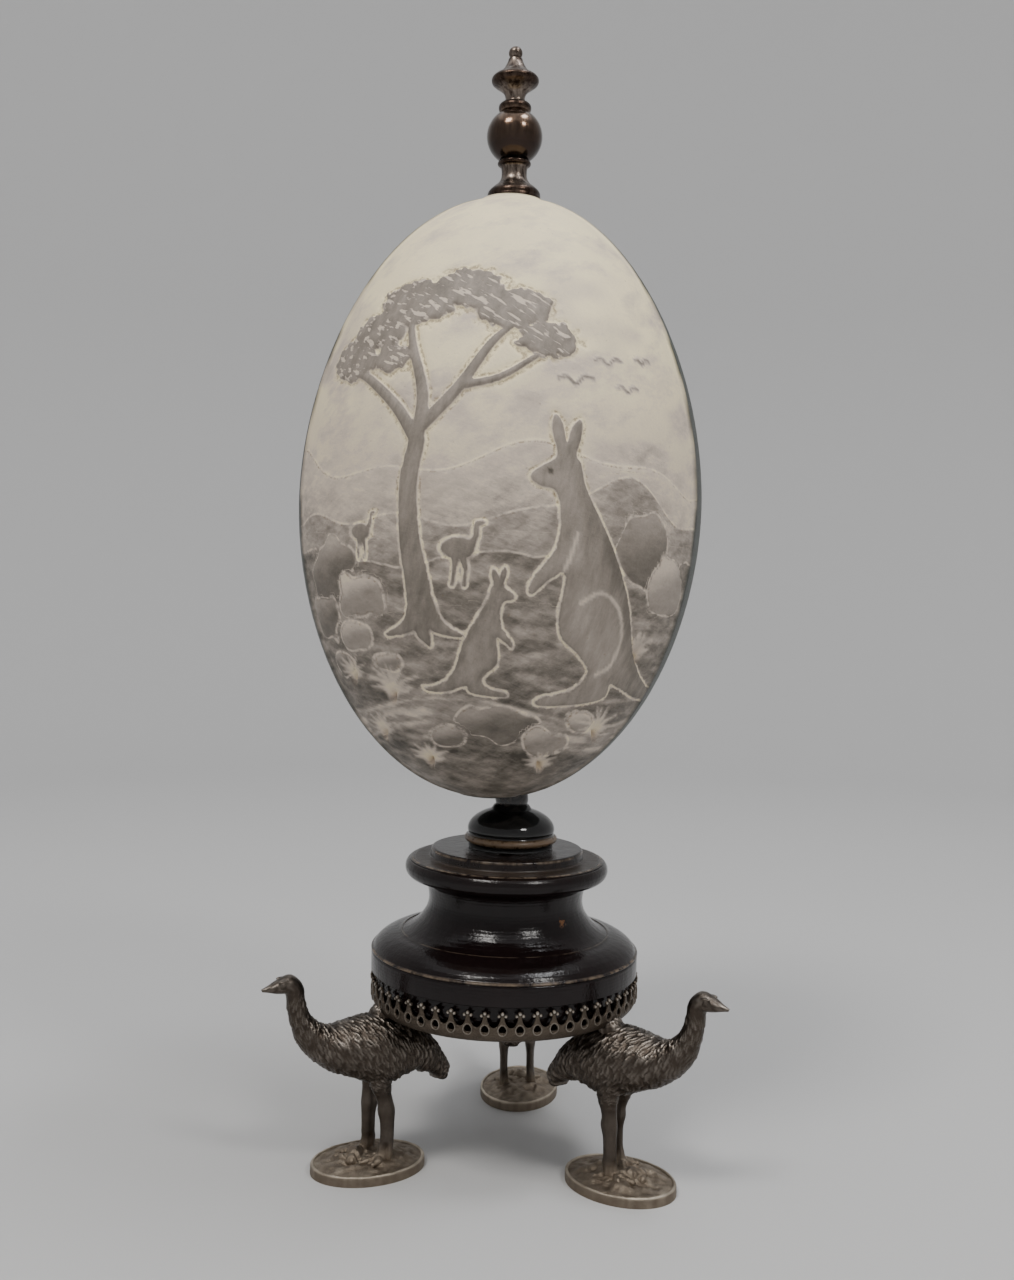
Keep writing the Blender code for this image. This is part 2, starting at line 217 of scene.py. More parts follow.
def copied(first, name, place):
    """Another of a piece, with a mesh of its own, moved to its place."""
    copy = first.copy()
    copy.data = first.data.copy()
    copy.name = name
    copy.data.name = name
    copy.data.transform(place)
    bpy.context.scene.collection.objects.link(copy)
    return copy


def read(piece, what):
    found = np.empty(len(piece.data.vertices) * 3)
    piece.data.vertices.foreach_get(what, found)
    return found.reshape(-1, 3)


def places(piece):
    """Vertex positions in millimetres."""
    return read(piece, "co") / MM


def normals(piece):
    return read(piece, "normal")


def put(piece, points):
    piece.data.vertices.foreach_set("co", (np.asarray(points) * MM).ravel())
    piece.data.update()


def note(piece, name, values):
    """Keep a number for each vertex, for the finish to read."""
    layer = piece.data.attributes.new(name, "FLOAT", "POINT")
    layer.data.foreach_set("value", np.asarray(values, np.float32))


def smooth(piece, degrees=40):
    choose(piece)
    bpy.ops.object.shade_smooth_by_angle(angle=math.radians(degrees))
    choose()


def turned(name, profile, steps):
    """Draw a profile of (radius, height) point by point and spin it round the axis."""
    bpy.ops.mesh.primitive_plane_add(size=MM)
    piece = begin(name)
    bpy.ops.mesh.merge(type="CENTER")
    bpy.ops.transform.translate(value=(profile[0][0] * MM, 0, profile[0][1] * MM))
    for before, after in zip(profile, profile[1:]):
        step = ((after[0] - before[0]) * MM, 0, (after[1] - before[1]) * MM)
        bpy.ops.mesh.extrude_vertices_move(TRANSFORM_OT_translate={"value": step})
    bpy.ops.mesh.select_all(action="SELECT")
    bpy.ops.mesh.spin(steps=steps, angle=math.tau, center=(0, 0, 0), axis=(0, 0, 1))
    bpy.ops.mesh.select_all(action="SELECT")
    bpy.ops.mesh.remove_doubles(threshold=0.005 * MM)
    bpy.ops.mesh.normals_make_consistent(inside=False)
    close()
    points = places(piece)
    note(piece, "reach", np.hypot(points[:, 0], points[:, 1]))
    note(piece, "height", points[:, 2])
    smooth(piece)
    return piece


def skin(name, rings):
    """Extrude a ring of points from one section to the next, with a flat face at each end."""
    count = len(rings[0])
    bpy.ops.mesh.primitive_circle_add(vertices=count, radius=MM, fill_type="NGON")
    piece = begin(name)
    mesh = bmesh.from_edit_mesh(piece.data)
    mesh.verts.ensure_lookup_table()
    for vert, place in zip(mesh.verts, rings[0]):
        vert.co = Vector(place) * MM
    for before, after in zip(rings, rings[1:]):
        bpy.ops.mesh.extrude_region_move()
        mesh = bmesh.from_edit_mesh(piece.data)
        for vert in mesh.verts:
            if vert.select:
                gaps = np.abs(np.asarray(before) - np.array(vert.co) / MM).sum(axis=1)
                vert.co = Vector(after[int(np.argmin(gaps))]) * MM
    bpy.ops.mesh.select_all(action="SELECT")
    bpy.ops.mesh.normals_make_consistent(inside=False)
    close()
    return piece


def leaning(lean, shift, pivot_z):
    """The place of a piece that leans about a pivot on the stand's axis, after a shift."""
    towards = Vector((math.cos(LEAN_AZIMUTH), math.sin(LEAN_AZIMUTH), 0))
    hinge = Vector((0, 0, 1)).cross(towards)
    pivot = Vector((0, 0, pivot_z * MM))
    foot = Vector((0, STAND_Y * MM, 0)) + towards * shift * MM + pivot
    return Matrix.Translation(foot) @ Matrix.Rotation(lean, 4, hinge) @ Matrix.Translation(-pivot)


def hand_over(piece, finish, slot, *nodes):
    """Give a finished piece its material and its place in the frame."""
    piece.data.materials.clear()
    piece.data.materials.append(finish)
    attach(piece, "root")
    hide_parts(*nodes)


# Finishes


class Reading:
    """What a node's socket gives. Arithmetic on it adds Math nodes."""

    def __init__(self, coat, socket):
        self.coat = coat
        self.socket = socket

    def __add__(self, other):
        return self.coat.math("ADD", self, other)

    __radd__ = __add__

    def __mul__(self, other):
        return self.coat.math("MULTIPLY", self, other)

    __rmul__ = __mul__

    def __sub__(self, other):
        return self.coat.math("SUBTRACT", self, other)

    def __rsub__(self, other):
        return self.coat.math("SUBTRACT", other, self)

    def __truediv__(self, other):
        return self.coat.math("DIVIDE", self, other)

    def __abs__(self):
        return self.coat.math("ABSOLUTE", self)


class Coat:
    """A material that is put together node by node round one Principled shader."""

    def __init__(self, name):
        self.material = bpy.data.materials.new(name)
        self.material.use_nodes = True
        self.tree = self.material.node_tree
        self.shader = self.tree.nodes["Principled BSDF"]
        self.coordinates = self.node("ShaderNodeTexCoord", {}, {}, "Object")

    def feed(self, socket, value):
        if isinstance(value, Reading):
            self.tree.links.new(value.socket, socket)
        elif isinstance(value, tuple) and len(value) == 3 and socket.type == "RGBA":
            socket.default_value = (*value, 1.0)
        else:
            socket.default_value = value

    def node(self, kind, settings, sockets, output=0):
        made = self.tree.nodes.new(kind)
        for setting, value in settings.items():
            setattr(made, setting, value)
        for socket, value in sockets.items():
            self.feed(made.inputs[socket], value)
        return Reading(self, made.outputs[output])

    def math(self, operation, *values):
        return self.node("ShaderNodeMath", {"operation": operation}, dict(enumerate(values)))

    def mix(self, share, first, second):
        return self.node("ShaderNodeMix", {"data_type": "RGBA"}, {0: share, 6: first, 7: second}, 2)

    def between(self, value, low, high):
        """From 0 at low to 1 at high, held at both ends."""
        sockets = {"Value": value, "From Min": low, "From Max": high}
        return self.node("ShaderNodeMapRange", {"clamp": True}, sockets)

    def kept(self, name):
        """A number that note() kept on the mesh."""
        return self.node("ShaderNodeAttribute", {"attribute_name": name}, {}, "Fac")

    def stretched(self, lengths, tilt=0.0):
        """Places for a noise whose patches are these times as long, and tilted seen from -Y."""
        sockets = {"Vector": self.coordinates, "Scale": lengths, "Rotation": (0.0, tilt, 0.0)}
        return self.node("ShaderNodeMapping", {"vector_type": "TEXTURE"}, sockets)

    def noise(self, size, detail=3.0, roughness=0.55, where=None):
        """Patchy noise whose patches are about this size in millimetres."""
        sockets = {
            "Vector": where or self.coordinates,
            "Scale": 1 / (size * MM),
            "Detail": detail,
            "Roughness": roughness,
        }
        return self.node("ShaderNodeTexNoise", {}, sockets)

    def colours(self, share, *stops):
        """A ramp of colours at even steps."""
        made = self.node("ShaderNodeValToRGB", {}, {0: share})
        elements = made.socket.node.color_ramp.elements
        for index, colour in enumerate(stops):
            place = index / (len(stops) - 1)
            stop = elements[index] if index < 2 else elements.new(place)
            stop.position = place
            stop.color = (*colour, 1.0)
        return made

    def wear(self, colour, rough, height=None, depth=0, **others):
        """Dress the shader, with a bump whose full height is this deep in millimetres."""
        others |= {"Base_Color": colour, "Roughness": rough}
        if height is not None:
            relief = {"Height": height, "Strength": 1.0, "Distance": depth * MM}
            others["Normal"] = self.node("ShaderNodeBump", {}, relief)
        for name, value in others.items():
            self.feed(self.shader.inputs[name.replace("_", " ")], value)
        return self.material


def eggshell():
    """Carved layers from the dark skin down to the pale inside, by the tones kept on the egg."""
    coat = Coat("eggshell")
    figure = coat.kept("figure")
    crease = coat.kept("crease")
    skin_share = coat.kept("skin")
    back = coat.kept("back_tone")
    leafy = coat.kept("leafy")
    fine = coat.noise(0.55, 4.0, 0.7)
    cloudy = coat.noise(6.0, 4.0, 0.6)
    wandering = coat.noise(1.5, 3.0, 0.6)
    smudged = coat.noise(9.0, 6.0, 0.65, coat.stretched((1.6, 1.6, 0.8), -0.3))
    brush = coat.noise(1.7, 4.0, 0.7, coat.stretched((2.6, 2.6, 0.9), 0.3))
    counter = coat.noise(2.6, 3.0, 0.65, coat.stretched((2.8, 2.8, 0.9), -0.55))
    rubbed = coat.noise(2.6, 4.0, 0.65, coat.stretched((0.8, 0.8, 3.0), 0.25))
    gouged = coat.noise(1.5, 2.0, 0.5, coat.stretched((2.8, 1.0, 0.62), 0.55))
    inside = coat.between(figure, 0.1, -0.1)
    low = coat.between(back, 0.86, 0.6) * (1 - coat.between(leafy, 0.0, -1.0) * 0.65)
    brushed = coat.between(brush, 0.38, 0.62) * 0.6 + coat.between(counter, 0.4, 0.6) * 0.4
    brushed = brushed - 0.5
    tone = back + brushed * low * 0.34 - coat.between(smudged, 0.5, 0.72) * (1 - low) * 0.22
    tone = tone * (1 - inside) + (coat.kept("figure_tone") + (rubbed - 0.5) * 0.5) * inside
    tone = tone + (cloudy - 0.5) * 0.14 + (fine - 0.5) * 0.12
    edge = figure - (wandering - 0.5) * 0.9
    outline = coat.between(abs(edge - 0.34), 0.42, 0.14) * coat.between(cloudy, 0.26, 0.46)
    seam = coat.between(abs(crease - 0.1), 0.34, 0.1) * coat.between(wandering, 0.32, 0.58)
    seam = seam * (1 - inside)
    scratch = coat.between(gouged, 0.56, 0.61) * coat.between(leafy, 0.0, 1.0) * inside
    tone = tone + outline * (0.97 - tone) * (0.35 + low * 0.5) + seam * (0.92 - tone) * 0.7
    tone = tone + scratch * (0.84 - tone) * 0.85
    carved = coat.colours(
        tone,
        (0.06, 0.05, 0.037),
        (0.19, 0.163, 0.134),
        (0.365, 0.312, 0.265),
        (0.62, 0.525, 0.43),
        (0.98, 0.85, 0.55),
    )
    beside = coat.between(abs(edge - 0.5), 0.46, 0.12)
    beside = beside + coat.between(abs(crease + 0.25), 0.3, 0.08) * (1 - inside)
    dirty = beside * coat.between(coat.noise(0.8, 3.0, 0.7) + (back - 0.75) * 0.25, 0.47, 0.6)
    dirty = dirty * coat.between(cloudy, 0.34, 0.5)
    specks = coat.between(coat.noise(0.8, 1.0, 0.5), 0.76, 0.8)
    carved = coat.mix(dirty * 0.62 + specks * 0.35, carved, (0.185, 0.115, 0.06))
    pits = coat.between(coat.noise(0.4, 2.0, 0.5), 0.62, 0.72)
    uncarved = coat.mix(pits, (0.03, 0.036, 0.03), (0.085, 0.09, 0.075))
    colour = coat.mix(skin_share, carved, uncarved)
    relief = fine * 0.6 + scratch * -0.9 + outline * -0.6 + brushed * low * 0.5
    return coat.wear(colour, 0.62 - skin_share * 0.2, relief, 0.12)


# How strongly the polish shines, and where a small orange fleck shows
POLISH_SHINE = 0.28
FLECK_PLACE = (13.7 * MM, -16.6 * MM, 53.5 * MM)


def ebonised():
    """Near black polish on turned wood, browner on the upward faces and pale along the edges and
    ridges: partly rubbed polish, partly painted sheen and highlight.
    """
    coat = Coat("ebonised_wood")
    height = coat.kept("height")
    reach = coat.kept("reach")
    grain = coat.noise(2.4, 4.0, 0.6, coat.stretched((1.0, 1.0, 2.9)))
    fine = coat.noise(0.5, 3.0, 0.6)
    broad = coat.noise(14.0, 3.0, 0.5)
    shoulder_line = coat.between(abs(height - SOCLE_RIDGE_Z - 0.05), 0.42, 0.1)
    rim_line = coat.between(abs(reach - 20.9), 0.4, 0.1) * coat.between(height, 64.0, 64.4)
    step_line = coat.between(abs(height - 66.75), 0.35, 0.05)
    crease_line = coat.between(abs(reach - 22.7), 0.35, 0.05) * coat.between(height, 50.0, 49.4)
    # Pale lines on the ridges and edges: partly worn polish, partly painted highlight along the lit
    # edges.
    lines = shoulder_line * 0.7 + rim_line * 0.8 + step_line * 0.7 + crease_line * 0.4
    lines = lines * coat.between(grain, 0.38, 0.62)
    # Browner on the upward faces of the rim and step: partly rubbed polish, partly painted sheen.
    top_wear_and_sheen = coat.between(height, 63.6, 65.2) * coat.between(grain, 0.3, 0.75) * 0.3
    dusty = coat.between(abs(height - 65.0), 0.5, 0.1) * coat.between(reach, 21.0, 20.0)
    black = coat.mix(broad, (0.003, 0.002, 0.002), (0.01, 0.005, 0.005))
    colour = coat.mix(top_wear_and_sheen, black, (0.06, 0.042, 0.034))
    colour = coat.mix(lines, colour, (0.2, 0.15, 0.105))
    colour = coat.mix(dusty * 0.22, colour, (0.13, 0.1, 0.075))
    # A small orange fleck on the cove.
    apart = {0: coat.coordinates, 1: FLECK_PLACE}
    fleck_gap = coat.node("ShaderNodeVectorMath", {"operation": "DISTANCE"}, apart, "Value") / MM
    fleck = coat.between(fleck_gap + (fine - 0.5) * 3.0, 0.8, 0.4)
    colour = coat.mix(fleck, colour, (0.17, 0.075, 0.03))
    rough = 0.11 + top_wear_and_sheen * 0.26 + lines * 0.22 + (fine - 0.5) * 0.1 + dusty * 0.2
    rings = coat.math("SINE", height * 9.0)
    relief = grain * 0.9 + fine * 0.4 + rings * 0.05
    return coat.wear(colour, rough, relief, 0.11, Specular_IOR_Level=POLISH_SHINE)


def black_polish():
    """Black polish on the knop, with a gilt bead worn brown."""
    coat = Coat("black_polish")
    height = coat.kept("height")
    grain = coat.noise(1.2, 3.0, 0.6)
    bead = coat.between(abs(height - KNOP_BEAD_Z), 1.0, 0.55)
    worn = bead * coat.between(grain, 0.15, 0.5)
    flange = coat.between(height, 76.2, 76.7) * coat.between(grain, 0.5, 0.7)
    colour = coat.mix(worn, (0.006, 0.006, 0.006), (0.16, 0.105, 0.062))
    colour = coat.mix(flange * 0.4, colour, (0.08, 0.06, 0.045))
    return coat.wear(colour, 0.1 + worn * 0.28, grain, 0.03)


def worn_plate():
    """Silver plate worn to brown: the ball is polished bronze, the necks are duller pewter. The
    creases are darkened by tarnish and painted shade, and the ball by painted shade towards its
    bottom.
    """
    coat = Coat("finial_metal")
    height = coat.kept("height")
    patches = coat.noise(1.6, 4.0, 0.65, coat.stretched((0.6, 0.6, 2.0)))
    fine = coat.noise(0.35, 3.0, 0.6)
    ball = coat.between(abs(height - FINIAL_BALL_Z), 6.0, 4.6)
    rubbed = coat.between(patches, 0.38, 0.62)
    # Darker in the creases, under the disc and along the foot's lower band: partly tarnish, partly
    # painted shade.
    crease_grime_and_shade = coat.between(height, 210.7, 210.1)
    for crease, far, near in ((233.5, 1.5, 0.7), (228.0, 1.0, 0.6), (216.1, 0.8, 0.5)):
        crease_grime_and_shade = crease_grime_and_shade + coat.between(abs(height - crease), far, near)
    grime_and_shade_colour = coat.mix(rubbed, (0.03, 0.019, 0.014), (0.075, 0.052, 0.04))
    pewter = coat.mix(rubbed, (0.07, 0.052, 0.042), (0.235, 0.192, 0.16))
    pewter = coat.mix(crease_grime_and_shade, pewter, grime_and_shade_colour)
    # Painted light and shade: the ball is lighter on its top and darkens towards its bottom.
    lit_ball_top = coat.mix(rubbed, (0.1, 0.06, 0.038), (0.19, 0.125, 0.085))
    bronze = coat.mix(coat.between(height, 219.5, 225.5), (0.032, 0.018, 0.012), lit_ball_top)
    colour = coat.mix(ball, pewter, bronze)
    rough = 0.27 - ball * 0.11 + (fine - 0.5) * 0.12 + rubbed * 0.05
    relief = patches * 0.7 + fine * 0.3
    return coat.wear(colour, rough, relief, 0.05, Metallic=1.0, Coat_Weight=ball * 0.4)


def aged_silver():
    """Silver with brown tarnish in its hollows and a stippled ground."""
    coat = Coat("aged_silver")
    patches = coat.noise(2.0, 4.0, 0.6)
    sockets = {"Vector": coat.coordinates, "Scale": 1 / (0.3 * MM)}
    stipple = coat.node("ShaderNodeTexVoronoi", {}, sockets, "Distance")
    raised = coat.kept("raised")
    low = coat.mix(patches, (0.058, 0.046, 0.036), (0.155, 0.126, 0.098))
    high = coat.mix(patches, (0.36, 0.32, 0.27), (0.56, 0.52, 0.46))
    shade = coat.between(raised + (patches - 0.5) * 0.5, 0.2, 0.9)
    colour = coat.mix(shade, low, high)
    rough = 0.46 - raised * 0.14 + (patches - 0.5) * 0.12
    relief = stipple * (1 - raised) + patches * 0.4
    return coat.wear(colour, rough, relief, 0.14, Metallic=1.0)


def oxidised_silver():
    """Dark warm tarnish, rubbed bright on what stands out and brightened as painted highlight where
    it faces up, and brassier on the bases.
    """
    coat = Coat("oxidised_silver")
    worn = coat.kept("worn")
    ground = coat.kept("ground")
    patches = coat.noise(2.6, 4.0, 0.62)
    fine = coat.noise(0.3, 3.0, 0.6)
    dark = coat.mix(patches, (0.034, 0.027, 0.022), (0.088, 0.07, 0.056))
    bright = coat.mix(patches, (0.225, 0.192, 0.162), (0.43, 0.388, 0.342))
    # The worn share brightens what stands out, by rubbing, and what faces up, as painted highlight.
    bird = coat.mix(worn, dark, bright)
    brown = coat.mix(patches, (0.11, 0.083, 0.06), (0.29, 0.24, 0.185))
    base = coat.mix(worn, brown, (0.6, 0.53, 0.43))
    colour = coat.mix(ground, bird, base)
    rough = 0.38 - worn * 0.1 + (patches - 0.5) * 0.2 + ground * 0.14
    relief = fine * (0.6 + ground * 0.8) + patches * 0.4
    return coat.wear(colour, rough, relief, 0.12, Metallic=1.0)


def rod_steel():
    coat = Coat("rod_steel")
    brushed = coat.noise(0.5, 3.0, 0.6, coat.stretched((1.0, 1.0, 10.0)))
    colour = coat.mix(brushed, (0.22, 0.2, 0.18), (0.42, 0.4, 0.37))
    return coat.wear(colour, 0.3 + brushed * 0.2, brushed, 0.03, Metallic=1.0)


# Turned pieces


def finial():
    cone = [(1.5, 238.5), (1.68, 237.9), (2, 237.2), (2.5, 236.35), (2.85, 236)]
    disc = [(3.5, 235.4), (4.3, 235), (4.9, 234.5), (5.13, 233.9), (4.95, 233.25), (4.4, 232.75)]
    neck = [(3.9, 232.4), (3.2, 231.9), (2.5, 231.2), (2.16, 230.4), (2.12, 229.6), (2.3, 229.05)]
    stem = [(2.85, 215.2), (2.74, 214.4), (2.78, 213.3), (3.05, 212.5), (3.6, 211.75), (4.4, 211.1)]
    foot = [(5, 210.6), (5.5, 210.05), (5.72, 209.5), (5.72, 209), (5.8, 208.6)]
    profile = [
        *arc(0, 239.75, 1.5, 1.45, 90, -48, 10),
        *flowing(cone, 4),
        (3.1, 235.75),
        *flowing(disc, 4),
        *flowing(neck, 4),
        (3.1, 228.95),
        *arc(3.15, 228, 0.4, 0.8, 70, -70, 6),
        (3.2, 227.15),
        *arc(0, FINIAL_BALL_Z, 6.05, 5.9, 60, -60, 24),
        (3.3, 216.75),
        *arc(3.2, 216.15, 0.42, 0.5, 70, -70, 5),
        (3.1, 215.55),
        *flowing(stem, 4),
        *flowing(foot, 3),
        (5.8, 207.8),
        (0, 207.8),
    ]
    piece = turned("finial_turning", profile, 96)
    piece.data.transform(ON_AXIS)
    hand_over(piece, worn_plate(), "finial_metal", "finial")


def knop():
    profile = [
        (0, 79.4),
        (3.5, 79.4),
        *flowing([(3.62, 78.4), (3.66, 77.6), (3.55, 77), (3.45, 76.75)], 3),
        (3.9, 76.55),
        *arc(0, 71.2, 9.6, 5, 62, 0, 16),
        *flowing([(9.55, 70.8), (9.35, 70.45), (9.5, 70.15)], 2),
        *arc(9, KNOP_BEAD_Z, 1.2, 0.9, 62, -62, 10),
        (9.3, 68.3),
        (9.2, 68.1),
        (9.3, 67.45),
        (0, 67.45),
    ]
    piece = turned("knop_turning", profile, 96)
    piece.data.transform(leaning(WOOD_LEAN, KNOP_SHIFT, WOOD_PIVOT_Z))
    hand_over(piece, black_polish(), "black_polish", "knop")


def socle():
    cove = [(17.5, 59), (17.1, 57.4), (17, 55.4), (17.6, 53.3), (19.2, 51), (21.2, 49.4)]
    shoulder = [(23.2, 48.65), (25.3, 48.1), (27.2, 47.2), (28.4, 46.2), (28.95, 45.35)]
    profile = [
        (0, 67.15),
        (16, 67.15),
        *arc(16.1, 66.55, 0.62, 0.6, 90, 10, 5),
        (16.85, 65.4),
        *flowing([(16.95, 65.15), (17.2, 64.97), (18.2, 64.9), (20.3, 64.9)], 3),
        *arc(20.5, 62.8, 1.85, 2.1, 78, 62, 3),
        (21.32, 64.52),
        *arc(20.5, 62.8, 1.85, 2.1, 54, -72, 16),
        *flowing([(20.6, 60.7), (19.9, 60.4), (18.8, 60.1), (17.9, 59.75)], 3),
        *flowing([*cove, (22.6, 48.72)], 4),
        (22.75, 48.85),
        (22.95, 48.8),
        *flowing(shoulder, 4),
        *arc(28.9, SOCLE_RIDGE_Z, 0.5, 0.3, 70, -70, 6),
        (29.28, 44.5),
        (29.35, 44.2),
        (29.35, 40.55),
        (29.2, 40.4),
        (28.2, 40.4),
        (28.2, 37),
        (27, 34.91),
        (0, 34.91),
    ]
    piece = turned("socle_turning", profile, 160)
    piece.data.transform(leaning(WOOD_LEAN, SOCLE_SHIFT, WOOD_PIVOT_Z))
    hand_over(piece, ebonised(), "ebonised_wood", "socle")


# Gallery

MOTIFS = 52
RIM_REACH = 29.35
RIM_THICKNESS = 0.5
HALF_PITCH = RIM_REACH * math.tan(math.pi / MOTIFS)


def flat_shape(name, outlines, thickness, edge):
    """A plate between outlines in x and z, with its holes cut and its edges rounded."""
    curve = bpy.data.curves.new(name, "CURVE")
    curve.dimensions = "2D"
    curve.fill_mode = "BOTH"
    curve.extrude = (thickness / 2 - edge) * MM
    curve.bevel_depth = edge * MM
    curve.bevel_resolution = 1
    curve.offset = -edge * MM
    for outline in outlines:
        spline = curve.splines.new("POLY")
        spline.points.add(len(outline) - 1)
        for point, (x, z) in zip(spline.points, outline):
            point.co = (x * MM, z * MM, 0, 1)
        spline.use_cyclic_u = True
    plate = bpy.data.objects.new(name, curve)
    bpy.context.scene.collection.objects.link(plate)
    choose(plate)
    bpy.ops.object.convert(target="MESH")
    plate = bpy.context.active_object
    plate.data.transform(Matrix.Rotation(math.pi / 2, 4, "X"))
    return plate


def motif():
    """One motif: plate with its hole, raised ring, and three beads, facing -Y at the rim."""
    right = flowing([(0.4, 38.55), (0.42, 38.1), (0.62, 37.4), (0.98, 36.75), (1.35, 36.42)], 3)
    left = [(-x, z) for x, z in right[::-1]]
    ends = [(HALF_PITCH + 0.02, 36.36), (HALF_PITCH + 0.02, 34.9)]
    far_ends = [(-x, z) for x, z in ends[::-1]]
    outline = [(0, 39), *right, *ends, *far_ends, *left]
    hole = [(0, 36.85), (0.6, 36.2), (0.7, 35.7), (0, 35), (-0.7, 35.7), (-0.6, 36.2)]
    pieces = [flat_shape("plate", [outline, flowing(hole, 3, True)], RIM_THICKNESS, 0.08)]
    bpy.ops.mesh.primitive_torus_add(
        major_radius=0.91 * MM,
        minor_radius=0.18 * MM,
        major_segments=24,
        minor_segments=8,
        rotation=(math.pi / 2, 0, 0),
    )
    ring = begin("ring")
    bpy.ops.transform.resize(value=(1, 1, 1.18))
    bpy.ops.transform.translate(value=(0, -0.2 * MM, 35.88 * MM))
    close()
    pieces.append(ring)
    for x, z, radius in ((0, 39.2, 0.42), (-0.68, 38.75, 0.38), (0.68, 38.75, 0.38)):
        bpy.ops.mesh.primitive_uv_sphere_add(segments=12, ring_count=8, radius=radius * MM)
        bead = begin("bead")
        bpy.ops.transform.translate(value=(x * MM, -0.08 * MM, z * MM))
        close()
        pieces.append(bead)
    return join("motif", pieces)


def gallery():
    profile = [
        (1.8, 34.2),
        (28.3, 34.2),
        (28.85, 35.2),
        (28.85, 35.4),
        (29.3, 35.4),
        *flowing([(29.36, 35.2), (29.2, 34.6), (28.75, 33.75), (28.2, 33.25), (27.6, 33)], 3),
        (1.8, 33),
        (1.8, 34.2),
    ]
    dish = turned("dish", profile, 208)
    first = motif()
    centre = Matrix.Translation((0, (RIM_THICKNESS / 2 - RIM_REACH) * MM, 0))
    first.data.transform(centre)
    turns = [Matrix.Rotation(math.tau * index / MOTIFS, 4, "Z") for index in range(MOTIFS)]
    copies = [copied(first, "motif_copy", turn) for turn in turns]
    bpy.data.objects.remove(first)
    piece = join("gallery_rim", [dish, *copies])
    points = places(piece)
    reach = np.hypot(points[:, 0], points[:, 1])
    note(piece, "raised", ramp(reach, RIM_REACH + 0.02, RIM_REACH + 0.25))
    piece.data.transform(ON_AXIS)
    smooth(piece, 50)
    hand_over(piece, aged_silver(), "aged_silver", "gallery")


# Emus

# The bird's sections from tail to beak: point on its back, point below, half of its breadth,
# with each point given as distance from the stand's axis and height above the table
BIRD_SECTIONS = [
    (13.5, 17.9, 15, 17, 1.2), (14.2, 21.8, 17.8, 19.4, 3.6), (17, 26.6, 21.4, 20.9, 5.4),
    (21.2, 30.2, 24.6, 20.2, 6.5), (26, 32.6, 27.2, 18.8, 7), (31, 33.4, 31.4, 19.3, 6.9),
    (36, 32.8, 35.6, 21, 6.1), (40.2, 32.2, 40.2, 22.9, 4.9), (42.8, 33.5, 43.8, 25.6, 3.8),
    (44.6, 35.6, 47.1, 29.6, 2.8), (45.5, 38.6, 48.9, 35.6, 2), (46, 41.8, 49.5, 39.8, 2),
    (48.3, 44, 50.5, 40.2, 2.2), (51, 43.3, 51.8, 40.4, 1.8), (53.2, 42.2, 53.4, 40.8, 0.9),
    (54.8, 41.5, 54.6, 41, 0.35),
]
BIRD_YAW = 0.05
TAIL_REACH = 14.0
HIP_REACH = 29.5
# A leg's sections downwards: height, share of the way to the hip, shift, half depth, half breadth
LEG_SECTIONS = [
    (22.5, 1, 0.3, 3, 2.4),
    (18.4, 0.9, 0, 2.1, 1.6),
    (15.2, 0.3, 0, 1.75, 1.2),
    (13.2, 0.2, -0.1, 1.95, 1.35),
    (10.5, 0, 0, 1.6, 1),
    (6, 0, 0.1, 1.55, 1),
    (3.4, 0, 0.6, 1.8, 1.3),
    (2.4, 0, 0.7, 1.8, 1.3),
]
# Each leg's reach and side, each toe's angle and length, and a toe's share, half width and top
LEGS = [(30.2, 2.8), (27.9, -3.4)]
TOES = [(-32, 4.4), (0, 5.6), (32, 4.4)]
TOE_SECTIONS = [(0, 0.95, 4.3), (0.35, 0.75, 4.0), (0.6, 0.85, 3.9), (1.0, 0.4, 3.3)]
TOE_BOTTOM = 2.2
ROCKS = [(0.4, 34.0, 2.3), (-1.7, 35.2, 1.6), (2.0, 32.9, 1.6), (0.2, 36.6, 1.2)]
EYE_Y = 50.4
EYE_Z = 42.2
# Start and end along the bird, slant from straight back, width and length of each feather
FEATHERS = [
    (-4, 24, 1.08, 0.62, 4.4),
    (24, 34, 1.18, 0.76, 6.5),
    (34, 43, 0.55, 0.62, 3.2),
]
BASE_REACH = 31.1
BASE_HALF = (9.4, 12.4)
VOXEL = 0.18


def oval_ring(centre, forward, breadth, count=24):
    """Points round an oval that spans forward one way and breadth across the bird."""
    angles = np.arange(count) / count * math.tau
    across = breadth * np.sin(angles)
    ring = np.outer(np.cos(angles), forward) + centre
    return np.column_stack([across + ring[:, 0], ring[:, 1], ring[:, 2]])


def bird_rings(steps):
    """The bird's rings from tail to beak, and how far each is from the tail."""
    rings, lengths, last = [], [], None
    for back_y, back_z, belly_y, belly_z, breadth in flowing(BIRD_SECTIONS, steps):
        middle = np.array([0, (back_y + belly_y) / 2, (back_z + belly_z) / 2])
        middle[0] = -BIRD_YAW * (middle[1] - TAIL_REACH)
        half = np.array([0, (back_y - belly_y) / 2, (back_z - belly_z) / 2])
        rings.append(oval_ring(middle, half, max(breadth, 0.2)))
        lengths.append(0 if last is None else lengths[-1] + np.linalg.norm(middle - last))
        last = middle
    return rings, np.array(lengths)


def leg(reach, side):
    rings = []
    for height, share, forward, depth, breadth in flowing(LEG_SECTIONS, 3):
        centre = np.array([side, reach + (HIP_REACH - reach) * share + forward, height])
        rings.append(oval_ring(centre, np.array([0, depth, 0]), breadth, 16))
    return skin("leg", rings)


